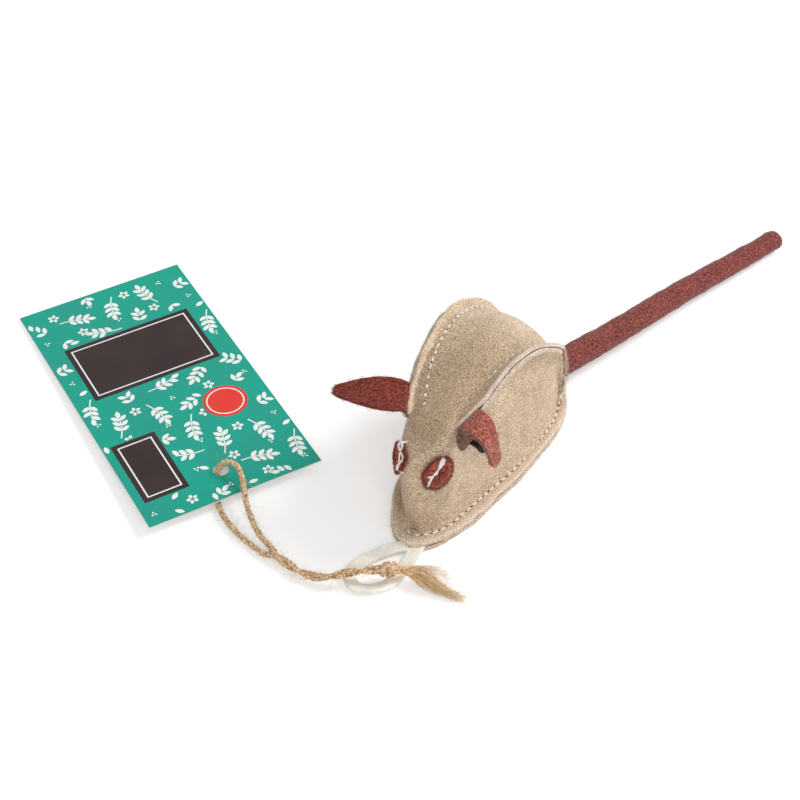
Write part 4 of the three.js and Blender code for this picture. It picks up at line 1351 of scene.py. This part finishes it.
def eye_profile():
    """Shares of the disc's radius and of its height, from its face's middle to its back's."""
    profile = [(share, 1) for share in np.linspace(0.02, 0.9, eye_rings)]
    profile += [(0.9 + 0.1 * math.sin(t), 0.55 + 0.45 * math.cos(t))
                for t in np.linspace(0.3, math.pi / 2, 5)]
    return profile + [(1, 0.15), (0.97, 0), (0.5, 0), (0.02, 0)]


def eye_points(side, tree):
    """Rings of a disc that lies on the cover, with a groove where its thread presses."""
    middle, facing, thread_way, cross_way = eye_frame(side)
    eye_dome, eye_groove, thread_aside, stretch, narrow = eye_shapes[side]
    turns = circle(eye_sides)
    uneven_rim = 1 + 0.025 * np.sin(turns * 3 + side) + 0.02 * np.sin(turns * 7)
    rings = []
    for share, height in eye_profile():
        ring = []
        for t, wide in zip(turns, uneven_rim):
            x, y = (eye_radius * share * wide * f(t) for f in (math.cos, math.sin))
            point = middle + thread_way * x * stretch + cross_way * y * narrow
            skin = on_skin(tree, point, facing)
            groove = eye_groove * math.exp(-(((y - thread_aside) / 0.8) ** 2)) * (height > 0.9)
            dome = eye_dome * math.sqrt(max(0, 1 - share ** 2)) * (height > 0.9)
            ring.append(skin + facing * (touch + height * (suede + dome - groove)))
        rings.append(ring)
    return np.array(rings)


def eye_pieces(name, side, tree):
    middle, facing, _, _ = eye_frame(side)
    rings = eye_points(side, tree)
    disc, rim = loft(rings), rings[eye_rings + 3]
    fuzz = fuzz_on(rim, unit(rim - middle) + facing * eye_fuzz_rise, **eye_fuzz)
    face = disc[0][:eye_rings * eye_sides]
    nap = fuzz_on(face, np.broadcast_to(facing, face.shape), **eye_nap)
    worn = np.repeat([0, fuzz_worn, 0], [len(part[0]) for part in (disc, fuzz, nap)])
    made = piece(f"{name}_disc", joined([disc, fuzz, nap]), red_eye, "mouse_body", "red_suede",
                 worn=worn)
    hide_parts(name)
    eye_thread_piece(name, side, tree)


def eye_thread_piece(name, side, tree):
    """Two strands across the disc, crossing once, down into the cover past its edge."""
    middle, facing, thread_way, cross_way = eye_frame(side)
    eye_dome, eye_groove, thread_aside, stretch, _ = eye_shapes[side]
    parts = []
    reach = eye_radius * stretch * 1.06
    for strand in (-1, 1):
        line = []
        low_end, fork = (-1, 0) if strand > 0 or side < 0 else (-0.46, 7)
        shares = np.linspace(low_end, 1, 33)
        for share in shares:
            aside = strand * 0.4 * math.cos((share + 0.25) * math.pi * 1.1) + thread_aside
            aside += fork * max(0, -share) ** 1.5
            aside += 3.4 * max(0, -share) ** 2 * (side < 0)
            point = middle + thread_way * share * reach + cross_way * aside
            skin = on_skin(tree, point, facing)
            sunk = eye_groove * 0.55 * math.exp(-(((aside - thread_aside) / 1.1) ** 2))
            over = touch + suede + eye_dome * math.sqrt(1 - min(1, share * share)) - sunk + 0.3
            ends = min(1, (1 - share) / 0.16, (share - low_end) / 0.12)
            height = over * max(0, ends) ** 0.5 - 0.1
            height += 0.18 * strand * math.cos(share * math.pi * 1.6)
            line.append(skin + facing * height)
        size = np.interp(shares, *eye_thread_radii) * eye_thread_size[side]
        line = spaced(np.column_stack([line, size]), 0.2)
        parts += strands(line[:, :3], line[:, 3], 3, 1.9, 3 + strand + side)
    made = piece(f"{name}_stitch", joined(parts), thread, "mouse_body", "white_thread")
    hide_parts(f"{name}_thread")


# Tail
roll_turns = 2.05
roll_wall = 0.98
roll_gap = 0.04
roll_edge_turn = math.radians(215)  # where round the tail the strip's outer edge lies
tail_rows = 190
roll_columns = 110
tail_start = -2.2  # how far past the pivot the root's round end lies
tail_end_reach = 3  # the last part, where the rows are closer together
tail_end_round = 1.4
tail_root_round = 2
tail_root_share = 0.72  # of the full thickness, at the root's very end
tail_bumps = (7, 90, 0.14), (2.5, 91, 0.05)  # size, seed and height
tail_nap = {"count": 5200, "wander": 0.8, "length": 0.45, "radius": 0.035}



def tail_ways():
    """The way along the tail, the way to its side and the way up from it."""
    drop = tail_middle[2] - tail_tip_radius - touch / 2
    pitch = math.asin(drop / tail_length)
    way = np.array([math.sin(tail_turn) * math.cos(pitch),
                    math.cos(tail_turn) * math.cos(pitch), -math.sin(pitch)])
    side = unit(np.cross(way, [0, 0, 1]))
    return way, side, np.cross(side, way)


def tail_size(y, share):
    """How thick the tail is at a place along it: 1 is its tip's thickness."""
    size = 1 + (tail_root_radius / tail_tip_radius - 1) * (1 - share)
    if y > tail_length - tail_end_round:
        size *= 1 - 0.1 * ((y - tail_length + tail_end_round) / tail_end_round) ** 2
    if y < tail_root_round:
        rise = max(0, (y - tail_start) / (tail_root_round - tail_start))
        size *= tail_root_share + (1 - tail_root_share) * math.sin(rise * math.pi / 2)
    return size


def roll_grid(way, side, up):
    """Points of the strip's middle layer, in rows from the tail's root to its tip."""
    main_end = tail_length - tail_end_reach
    last = tail_end_reach * np.sin(np.linspace(0.1, 1, 14) * math.pi / 2)
    at = np.concatenate([np.linspace(tail_start, main_end, tail_rows), main_end + last])
    turns = np.linspace(0, roll_turns * 2 * math.pi, roll_columns)
    outer = tail_tip_radius + 0.35 - roll_wall / 2
    inward = (turns[-1] - turns) / (2 * math.pi) * (roll_wall + roll_gap)
    radii = np.maximum(0.3, outer - inward)
    around = turned_ways(side, up, roll_edge_turn + turns - turns[-1])
    grid = []
    for y in at:
        share = np.clip(y / tail_length, 0, 1)
        sag = 0.35 * math.sin(share * math.pi * 2.2) + 0.2 * math.sin(share * 9)
        centre = tail_middle + way * y + side * sag * share * (1 - share) * 3
        ring = centre + around * (radii * tail_size(y, share))[:, None]
        slant = (ring - centre) @ side * 0.12 * share ** 6
        grid.append(ring + way * slant[:, None])
    grid = np.array(grid)
    bumps = sum(uneven(grid, size, seed) * height for size, seed, height in tail_bumps)
    return grid + grid_normals(grid) * bumps[..., None]


def tail_piece():
    """A strip of suede rolled up tight, its outer end along the underside."""
    way, side, up = tail_ways()
    grid = roll_grid(way, side, up)
    outside = grid[:, roll_columns // 2:].reshape(-1, 3)
    axis = tail_middle + np.outer((outside - tail_middle) @ way, way)
    ways = unit(outside - axis)
    nap = fuzz_on(outside + ways * roll_wall * 0.5, ways, **tail_nap)
    made = piece("tail_roll_suede", joined([leaf(grid, roll_wall, 0.4), nap]), red, None,
                 "red_suede")
    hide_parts("tail")
    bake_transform(made)


# Lace and twine
lace_tilt = math.radians(14)  # how steeply its outer edge is raised halfway round the loop
lace_sides = 28
lace_end_steps = 7
lace_fuzz_count = 300


def lace_piece():
    path = spaced(spline(lace_points), 0.35)
    ends = [path[0] + unit(path[0] - path[3]) * lace_sewn_in * [1, 1, 0],
            path[-1] + unit(path[-1] - path[-4]) * lace_sewn_in * [1, 1, 0]]
    path = np.vstack([np.linspace(ends[0], path[0], lace_end_steps)[:-1], path,
                      np.linspace(path[-1], ends[1], lace_end_steps)[1:]])
    tangents, _, _ = carried(path)
    flat = unit(np.cross(tangents, [0, 0, 1]))
    up = np.cross(flat, tangents)
    tilt = np.sin(np.linspace(0, math.pi, len(path))) * lace_tilt
    turned = turned_ways(flat, up, tilt)
    above = np.cross(turned, tangents)
    turns = np.linspace(0, 2 * math.pi, lace_sides, endpoint=False)
    wide = lace_width / 2 * (1 + 0.05 * uneven(path, 4, 95))
    thick = lace_thickness / 2
    x = np.sign(np.cos(turns)) * np.abs(np.cos(turns)) ** 0.25
    y = np.sign(np.sin(turns)) * np.abs(np.sin(turns)) ** 0.3
    rings = path[:, None] + turned[:, None] * (wide[:, None] * x)[..., None] \
        + above[:, None] * (thick * y)[None, :, None]
    picks = rng.integers(0, len(path), lace_fuzz_count)
    sign = rng.choice([-1, 1], (lace_fuzz_count, 1))
    roots = path[picks] + turned[picks] * sign * lace_width / 2
    wander = rng.normal(size=(lace_fuzz_count, 3)) * 0.5
    fuzz = fibres(roots, turned[picks] * sign + wander, 0.5, 0.03)
    made = piece("lace_strip", loft(kept_above(rings, 0.04)), white_suede, "mouse_body",
                 "lace_suede")
    fuzz_piece = piece("lace_fuzz", fuzz, white_suede, "mouse_body", "lace_suede")
    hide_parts("nose_lace")


stray_radius = 0.035
loose_steps = 7
loose_lowest = 0.06


def stray(path, count, length, spread):
    """Loose fibres that leave a twine at a slant."""
    tangents, normals, others = carried(path)
    picks = rng.integers(2, len(path) - 2, count)
    out = turned_ways(normals[picks], others[picks], rng.uniform(0, 2 * math.pi, count))
    sign = rng.choice([-1, 1], (count, 1))
    ways = tangents[picks] * sign + out * rng.uniform(0.2, 0.9, (count, 1))
    return long_fibres(path[picks] + out * spread, ways, length, stray_radius)


def long_fibres(roots, ways, length, radius):
    """Curved fibres of several steps each, kept above the floor."""
    parts = []
    for root, way in zip(roots, unit(ways)):
        size = length * rng.uniform(0.35, 1)
        curl = unit(rng.normal(size=3)) * 0.34
        line = [root]
        for _ in range(loose_steps):
            way = unit(way + curl * rng.uniform(0.2, 1) - np.array([0, 0, 0.05]))
            line.append(line[-1] + way * size / loose_steps)
        line = kept_above(np.array(line), loose_lowest + radius)
        taper = np.linspace(1, 0.35, len(line)) * radius * rng.uniform(0.7, 1.3)
        parts.append(tube(line, taper, 3))
    return joined(parts)


def above_floor(part, lowest=0.03):
    points, faces = part
    return kept_above(points, lowest), faces


# The two strands of the pair: their radius, how far off its middle they run, the length in
# which they go round each other once, and the turn that they start at
strand_radius = 0.7
strand_off = 0.62
pair_pitch = 17
pair_turn = 1.2
# Each frayed end's fibres, and the tuft's radius from the knot to the tip
long_fray = 240, [0.6, 1.3, 2.0, 1.8, 1.4, 1.2, 1.1]
short_fray = 110, [0.6, 1.0, 1.7, 2.4, 3.0]


def twine_pieces():
    loop = spaced(spline(loop_points), 0.3)
    pair = spaced(spline(pair_points), 0.3)
    tied = spaced(spline([loop_end_points[0], *loop_points, loop_end_points[1]]), 0.3)
    loop_part = above_floor(joined(strands(tied, twine_radius, 3, 4.2, 1, 8, 0.2)))
    loop_piece = piece("twine_loop", loop_part, jute, "mouse_body", "jute")
    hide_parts("tag_twine_loop")
    _, normals, others = carried(pair)
    run = lengths(pair)
    parts = []
    for k in (0, 1):
        turn = run / pair_pitch * 2 * math.pi + math.pi * k + pair_turn
        off = turned_ways(normals, others, turn) * strand_off
        parts += strands(pair + off, strand_radius, 3, 5.5, 3 + k, 8, 0.16)
    pair_piece = piece("twine_pair", above_floor(joined(parts)), jute, "mouse_body", "jute")
    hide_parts("tag_twine_pair")
    loose = joined([stray(loop, 150, 5.5, 0.7), stray(pair, 90, 5, 1.2)])
    fuzz = piece("twine_fuzz", loose, jute_pale, "mouse_body", "jute")
    knot = knot_piece()
    long_end = frayed_piece("frayed_long_end", long_end_points, *long_fray, (0, 0.45),
                            "twine_end_long")
    short_end = frayed_piece("frayed_short_end", short_end_points, *short_fray, (0.15, 0.8),
                             "twine_end_short")


knot_wraps = (0.35, -1.25), (-0.3, -0.1), (0.25, 1.0)  # each one's tilt and place along
wrap_reach = 1.55
wrap_radius = 0.8
knot_fibres = 60


def knot_piece():
    """A knot's wraps: the strands wound round themselves and crossed over."""
    start, end = np.array(knot_points, float)
    way = unit(end - start)
    side = unit(np.cross(way, [0, 0, 1]))
    up = np.cross(side, way)
    middle = (start + end) / 2
    parts = []
    for k, (tilt, shift) in enumerate(knot_wraps):
        turns = np.linspace(0, 2 * math.pi * 1.05, 60)
        normal = unit(way + side * tilt + up * tilt * 0.5)
        a = unit(np.cross(normal, up))
        b = np.cross(normal, a)
        wide = wrap_reach - 0.12 * abs(shift)
        line = middle + way * shift + a * np.cos(turns)[:, None] * wide \
            + b * np.sin(turns)[:, None] * wide + way * (turns / 6.6 - 0.5)[:, None] * 0.7
        parts += strands(line, wrap_radius, 3, 4, 7 + k, 8, 0.25)
    turns = np.linspace(-0.3, math.pi + 0.3, 40)
    over = middle + way * (np.cos(turns)[:, None] * 2.1) \
        + up * (np.sin(turns)[:, None] * 2.0 - 0.2) + side * 0.5
    parts += strands(over, 0.75, 3, 4, 12, 8, 0.25)
    core = np.linspace(start - way * 0.8, end + way * 0.4, 24)
    parts += strands(core, 1.3, 3, 6, 15, 8, 0.2)
    roots = middle + unit(rng.normal(size=(knot_fibres, 3))) * 1.9
    loose = long_fibres(roots, rng.normal(size=(knot_fibres, 3)), 3.2, 0.035)
    made = piece("knot_wraps", joined([*parts, loose]), jute, "mouse_body", "jute")
    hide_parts("twine_knot")
    return made


fray_steps = 16
fray_radii = 0.085, 0.035  # at each fibre's root and tip
wisp_count = 70


def frayed_piece(name, points, count, spread, shade, node):
    """A twine end that has come undone. spread gives the tuft's radius from knot to tip,
    and shade how pale the fibres are there."""
    path = spaced(spline(points), 0.5)
    tangents, normals, others = carried(path)
    parts, pale = [], []
    for k in range(count):
        first = rng.uniform(0, 0.25) * (k % 3 > 0)
        last = rng.uniform(0.35, 1.0) ** 0.7
        shares = np.linspace(first, last, fray_steps)
        line = along(path, shares)
        i = np.round(shares * (len(path) - 1)).astype(int)
        turn = rng.uniform(0, 2 * math.pi)
        inner = rng.uniform(0.05, 1) ** 0.6
        swirl = turn + shares * rng.uniform(0.3, 2)
        off = turned_ways(normals[i], others[i], swirl)
        wide = np.interp(shares, np.linspace(0, 1, len(spread)), spread)
        line = line + off * (wide * inner)[:, None]
        line += np.cumsum(rng.normal(size=line.shape) * 0.07, 0)
        radii = np.linspace(*fray_radii, fray_steps) * rng.uniform(0.6, 1.5)
        parts.append(tube(kept_above(line, 0.12), radii, 4))
        tone = np.interp(shares, [0, 1], shade) + rng.uniform(-0.25, 0.25)
        pale.append(np.repeat(np.clip(tone, 0, 1), 4))
    body = piece(name, joined(parts), jute_gold, "mouse_body", "jute",
                 worn=np.concatenate(pale))
    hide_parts(node)
    tips = along(path, rng.uniform(0.3, 1, wisp_count))
    ways = tangents[-1] + rng.normal(size=(wisp_count, 3)) * [0.5, 0.7, 0.3]
    loose = long_fibres(tips + rng.normal(size=(wisp_count, 3)) * 0.6, ways, 7, 0.026)
    wisps = piece(name + "_wisps", loose, jute_pale, "mouse_body", "jute")
    wisps.parent = body
    return body


# Tag
print_lift = 0.012
outline_steps = 64


def tag_place(points):
    """Points on the tag, along its length from the hole, across it and above it."""
    pitch = math.asin(tag_rise / tag_length)
    x, y, z = np.moveaxis(np.asarray(points, float), -1, 0)
    reach = (tag_length - hole_inset) * math.sin(pitch)
    flat = x * math.cos(pitch) + z * math.sin(pitch)
    high = -x * math.sin(pitch) + z * math.cos(pitch)
    return np.stack([
        hole_place[0] + flat * math.cos(tag_turn) - y * math.sin(tag_turn),
        hole_place[1] + flat * math.sin(tag_turn) + y * math.cos(tag_turn),
        high + reach + tag_clear,
    ], -1)


def tag_outline(inset, z):
    """Rings round the card and its hole at an inset, as matching lists of points."""
    low, high = -hole_inset + inset, tag_length - hole_inset - inset
    half = tag_width / 2 - inset
    turns = circle(outline_steps)
    directions = np.stack([np.cos(turns), np.sin(turns)], -1)
    rim = []
    for dx, dy in directions:
        limits = [high / dx if dx > 0 else low / dx if dx < 0 else 1e9,
                  half / abs(dy) if abs(dy) > 1e-9 else 1e9]
        reach = min(abs(v) for v in limits)
        rim.append((dx * reach, dy * reach, z))
    for x, y in ((high, half), (low, half), (low, -half), (high, -half)):
        nearest = int(np.argmin([(px - x) ** 2 + (py - y) ** 2 for px, py, _ in rim]))
        rim[nearest] = (x, y, z)
    ring = [(dx * (hole_radius + inset), dy * (hole_radius + inset), z)
            for dx, dy in directions]
    return np.array(rim), np.array(ring)


def card_piece(name, part, material):
    return piece(name, part, material, "tag_card", "printed_card", False)


def tag_card(name, material, low, high, bevel):
    """The card's solid between two heights, with a hole."""
    loops = [tag_outline(inset, z) for inset, z in (
        (bevel, high), (0, high - bevel), (0, low + bevel), (bevel, low),
    )]
    rings = [loops[0][1], *[rim for rim, _ in loops], *[ring for _, ring in loops[::-1]]]
    rings = np.array([tag_place(ring) for ring in rings])
    rows, columns = rings.shape[:2]
    faces = [tuple(face) for face in grid_faces(rows, columns, True)]
    return card_piece(name, (rings.reshape(-1, 3), faces), material)


def flat_shape(points, lift):
    """A flat printed shape on the card's face."""
    ring = np.column_stack([np.asarray(points, float), np.full(len(points), lift)])
    return tag_place(ring), [tuple(range(len(points)))]


def turned_outline(points, turn, x, y):
    """A flat outline turned about its start and moved to a place."""
    c, s = math.cos(turn), math.sin(turn)
    return points @ np.array([[c, s], [-s, c]]) + [x, y]


def leaf_outline(x, y, turn, length, width):
    shares = np.linspace(0, 1, 9)
    half = np.sin(shares * math.pi) ** 0.8 * width / 2
    upper = np.column_stack([shares * length, half])
    lower = np.column_stack([shares[::-1][1:-1] * length, -half[::-1][1:-1]])
    return turned_outline(np.vstack([upper, lower]), turn, x, y)


def stem_outline(points, width):
    line = spaced(spline(np.column_stack([points, np.zeros(len(points))])), 0.5)[:, :2]
    ways = unit(np.gradient(line, axis=0))
    out = np.stack([-ways[:, 1], ways[:, 0]], -1) * width / 2
    return np.vstack([line + out, (line - out)[::-1]])


stem_width = 0.38
leaf_turn = 0.85
leaf_share = 0.36  # a leaf's length, as a share of its sprig's


def sprig(x, y, turn, size, lean):
    """A stem centred on a place, with pairs of leaves and a leaf at its tip, as outlines."""
    shares = np.linspace(0, 1, 5)
    curve = np.column_stack([(shares - 0.62) * size, lean * size * (shares ** 2 - 0.3)])
    turned = turned_outline(curve, turn, x, y)
    outlines = [stem_outline(turned, stem_width)]
    for k in range(2, len(turned)):
        way = turned[k] - turned[k - 1]
        heading = math.atan2(way[1], way[0])
        for sign in (-1, 1):
            outlines.append(leaf_outline(*turned[k - 1] + way * 0.5, heading + sign * leaf_turn,
                                         size * leaf_share, size * 0.17))
    outlines.append(leaf_outline(*turned[-1], heading, size * leaf_share, size * 0.18))
    return outlines


def flower(x, y, radius, petals=5):
    """Round petals about a place, as printed outlines."""
    return [leaf_outline(x + 0.22 * radius * math.cos(t), y + 0.22 * radius * math.sin(t), t,
                         radius * 0.85, radius * 0.62) for t in circle(petals) + x + y]


panel_places = [(56, 0, 25, 40), (11, 17, 25, 13.5)]  # along, across, length and width
panel_frame_inset = 1.5
panel_frame_width = 0.45
spot_place = (25, -13)
spot_radius = 6.6
spot_frame_width = 0.4
spot_sides = 48
sprig_spacing = 11.6
sprig_size = 8.2
sprig_lean = 0.22
print_margin = 0.3  # between the pattern and the card's edges and panels


def clear_of_panels(points):
    for x, y, long, wide in panel_places:
        near = abs(points[:, 0] - x) < long / 2 + print_margin
        near &= abs(points[:, 1] - y) < wide / 2 + print_margin
        if near.any():
            return False
    spot = np.linalg.norm(points - spot_place, axis=1) < spot_radius + 0.4
    hole = np.linalg.norm(points, axis=1) < hole_radius + 0.8
    inside = points[:, 0] > print_margin - hole_inset
    inside &= points[:, 0] < tag_length - hole_inset - print_margin
    inside &= abs(points[:, 1]) < tag_width / 2 - print_margin
    return bool(inside.all()) and not (spot.any() or hole.any())


def pattern_shapes(lift):
    """Sprigs and flowers in staggered rows, without those that would meet a panel or an edge."""
    shapes = []
    row_step = sprig_spacing * math.sqrt(3) / 2
    for i in range(-2, 11):
        for j in range(-3, 4):
            x, y = i * row_step, (j + 0.5 * (i % 2)) * sprig_spacing
            turn = math.radians(30 + 60 * ((i + 2 * j) % 6))
            parts = sprig(x, y, turn, sprig_size, sprig_lean * (-1) ** (i + j))
            blossom = (x + row_step * 0.36, y + sprig_spacing * 0.5)
            parts += flower(*blossom, 1.7) if (i + j) % 2 else flower(*blossom, 0.9, 3)
            shapes += [flat_shape(part, lift) for part in parts if clear_of_panels(part)]
    return shapes


def tag_pieces():
    """The card, and its print in layers that each lie a little higher than the last."""
    top = tag_thickness
    card = tag_card("tag_card_stock", card_white, 0, top, 0.1)
    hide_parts("swing_tag")
    tag_card("tag_print_ground", teal, top - 0.05, top + print_lift, 0.004)
    pattern_lift, panel_lift, frame_lift = (top + k * print_lift for k in (2, 3, 4))
    card_piece("tag_print_sprigs", joined(pattern_shapes(pattern_lift)), print_white)
    corners = np.array([(-1, -1), (1, -1), (1, 1), (-1, 1)])
    disc = np.column_stack([np.cos(circle(spot_sides)), np.sin(circle(spot_sides))])
    panels, frames = [], []
    for x, y, *size in panel_places:
        half = np.array(size) / 2
        panels.append(flat_shape(corners * half + [x, y], panel_lift))
        frames.append(band(corners * (half - panel_frame_inset) + [x, y], panel_frame_width,
                           frame_lift))
    card_piece("tag_print_panels", joined(panels), panel_brown)
    card_piece("tag_print_spot", flat_shape(disc * spot_radius + spot_place, panel_lift),
               spot_red)
    frames.append(band(disc * (spot_radius - 1) + spot_place, spot_frame_width, frame_lift))
    card_piece("tag_print_frames", joined(frames), print_white)


def band(ring, width, lift):
    """A printed line of a width round a closed outline, inside it."""
    middle = ring.mean(0)
    off = ring - middle
    inner = middle + off * (1 - width / np.abs(off).max(0))
    points = np.vstack([ring, inner])
    count = len(ring)
    faces = [(i, (i + 1) % count, count + (i + 1) % count, count + i) for i in range(count)]
    return tag_place(np.column_stack([points, np.full(len(points), lift)])), faces


# Filling
filling_share = 0.88
filling_passes = 8


def filling_piece():
    grid, _ = cover_grid(inset=suede + 3 * touch, bumps=0.2)
    grid = grid[14:-26:3, ::3]
    for _ in range(filling_passes):
        grid[:, 1:-1] = (grid[:, :-2] + 2 * grid[:, 1:-1] + grid[:, 2:]) / 4
    middle = grid.mean(1, keepdims=True)
    grid = middle + (grid - middle) * filling_share
    grid = out_of_socket(kept_above(grid, rim_bottom + 0.4), socket_radius + suede + touch)
    made = piece("fibre_filling", loft(grid), filling, "mouse_body", "filling")
    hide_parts("stuffing")


# Nap on the cover and fuzz on the cut edges
suede_nap = {"count": 16000, "wander": 0.9, "length": 0.36, "radius": 0.03, "scatter": 0.12,
             "scatter_first": True}
cut_fuzz = {"count": 7000, "wander": 0.7, "length": 0.55, "radius": 0.035, "scatter": 0.25,
            "scatter_first": True}


def cover_nap(grid):
    """Short fibres that stand off the suede all over."""
    normals = grid_normals(grid)
    middle = grid.mean((0, 1))
    normals *= np.sign((normals * (grid - middle)).sum(-1, keepdims=True))
    part = fuzz_on(grid.reshape(-1, 3), normals.reshape(-1, 3), **suede_nap)
    piece("cover_nap", part, beige_fibre, "mouse_body", "beige_suede")


def edge_fuzz():
    """Loose fibres along the cut edges of the rim and the dart flanges."""
    roots, ways = [], []
    for height in ((rim_bottom + rim_top) / 2, suede / 2):
        line = outline_moved(outline, 1, 0, height)
        out = line - np.array([*line.mean(0)[:2], 0]) * [1, 1, 0]
        out[:, 2] = 0
        roots.append(line)
        ways.append(unit(out))
    dart = dart_frames(np.linspace(0, 1, 500))
    for side in (1, -1):
        for face in (-1, 1):
            edge = dart["edge"] + dart["across"] * face * suede * 0.6
            tip = on_side(edge + dart["out"], side)
            edge = on_side(edge, side)
            roots.append(edge)
            ways.append(unit(tip - edge))
    fuzz = above_floor(fuzz_on(np.vstack(roots), np.vstack(ways), **cut_fuzz), 0.05)
    piece("cut_edge_fuzz", fuzz, beige_fibre, "mouse_body", "beige_suede")


# Camera, floor and light
def aimed(made, place, target):
    """Stands a camera or a lamp at a place, facing a target."""
    made.location = place
    made.rotation_mode = "QUATERNION"
    made.rotation_quaternion = Vector(np.subtract(target, place)).to_track_quat("-Z", "Y")


def camera():
    data = bpy.data.cameras.new("camera")
    made = new_object("camera", data)
    aimed(made, *((np.array(point) + offset) * MM for point in (camera_place, camera_target)))
    data.lens = camera_lens
    data.sensor_width = sensor_width
    data.clip_start, data.clip_end = camera_clip
    bpy.context.scene.camera = made


# Lamps, in metres and watts, each facing the middle: place, width and power
lamps = {"key": ((0.64, 0.83, 0.84), 0.55, 11.5), "front_fill": ((0.55, -0.8, 0.7), 0.9, 3.7)}
world_light = 0.53
# The floor, in metres: its half width, its shade, the light that it gives to the camera
# near the middle and far from it, and the distances between which that light changes
floor_half = 3.0
floor_shade = 0.9
floor_lift = 0.28
floor_lift_far = 0.7
floor_lift_reach = 0.4, 1.4


def lamp(name, place, size, power):
    data = bpy.data.lights.new(name, "AREA")
    data.shape = "DISK"
    data.size = size
    data.energy = power
    aimed(new_object(name, data), place, (0, 0, 0))


def studio():
    """White for the camera and in reflections, with less light on the object than it shows."""
    world = bpy.data.worlds.new("studio")
    bpy.context.scene.world = world
    world.use_nodes = True
    link = world.node_tree.links.new
    background = world.node_tree.nodes["Background"]
    background.inputs["Color"].default_value = (1, 1, 1, 1)
    path = add(world, "ShaderNodeLightPath")
    seen = add(world, "ShaderNodeMath", operation="MAXIMUM")
    link(path.outputs["Is Camera Ray"], seen.inputs[0])
    link(path.outputs["Is Glossy Ray"], seen.inputs[1])
    strength = add(world, "ShaderNodeMapRange")
    strength.inputs["To Min"].default_value = world_light
    strength.inputs["To Max"].default_value = 1
    link(seen.outputs[0], strength.inputs["Value"])
    link(strength.outputs["Result"], background.inputs["Strength"])
    for name, values in lamps.items():
        lamp(name, *values)
    floor()


def floor():
    """A matt floor that also gives the camera some light, more of it further out."""
    mesh = bpy.data.meshes.new("floor")
    h = floor_half
    mesh.from_pydata([(-h, -h, 0), (h, -h, 0), (h, h, 0), (-h, h, 0)], [], [(0, 1, 2, 3)])
    made = new_object("floor", mesh)
    material, principled = shader("floor", 1, Specular_IOR_Level=0)
    principled.inputs["Base Color"].default_value = (floor_shade, floor_shade, floor_shade, 1)
    link = material.node_tree.links.new
    path = add(material, "ShaderNodeLightPath")
    seen = add(material, "ShaderNodeMath", operation="MULTIPLY")
    place = add(material, "ShaderNodeNewGeometry")
    away = add(material, "ShaderNodeVectorMath", operation="LENGTH")
    link(place.outputs["Position"], away.inputs[0])
    lift = add(material, "ShaderNodeMapRange")
    for key, value in zip(("From Min", "From Max", "To Min", "To Max"),
                          (*floor_lift_reach, floor_lift, floor_lift_far)):
        lift.inputs[key].default_value = value
    link(away.outputs["Value"], lift.inputs["Value"])
    link(lift.outputs["Result"], seen.inputs[1])
    link(path.outputs["Is Camera Ray"], seen.inputs[0])
    glow = add(material, "ShaderNodeEmission")
    link(seen.outputs[0], glow.inputs["Strength"])
    both = add(material, "ShaderNodeAddShader")
    link(principled.outputs[0], both.inputs[0])
    link(glow.outputs[0], both.inputs[1])
    link(both.outputs[0], material.node_tree.nodes["Material Output"].inputs["Surface"])
    mesh.materials.append(material)


teal = card_material("teal_print", (24, 164, 142), (36, 156, 138))
card_white = card_material("card_stock", (236, 234, 228), (222, 220, 214))
print_white = card_material("white_print", (246, 248, 246), (236, 240, 236))
panel_brown = card_material("brown_print", (50, 35, 36), (60, 44, 44))
spot_red = card_material("red_print", (232, 62, 52), (222, 70, 58))

camera()
tag_pieces()
lace_piece()
twine_pieces()
cover = cover_piece()
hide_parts("top_cover")
rim_piece()
base = base_piece()
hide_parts("base_panel")
rim_stitches()
skin = skin_tree(cover)
for name, side in (("left", 1), ("right", -1)):
    dart_stitches(name, side, skin_tree(cover, *dart_pieces(name, side)))
ear_piece("left_ear_leaf", left_ear, 1, red_ear)
ear_piece("right_ear_leaf", right_ear, -1, red_painted_shade)
eye_pieces("left_eye", 1, skin)
eye_pieces("right_eye", -1, skin)
tail_piece()
filling_piece()
cover_nap(cover_grid()[0])
edge_fuzz()
studio()

scene = bpy.context.scene
scene.view_settings.view_transform = "Standard"
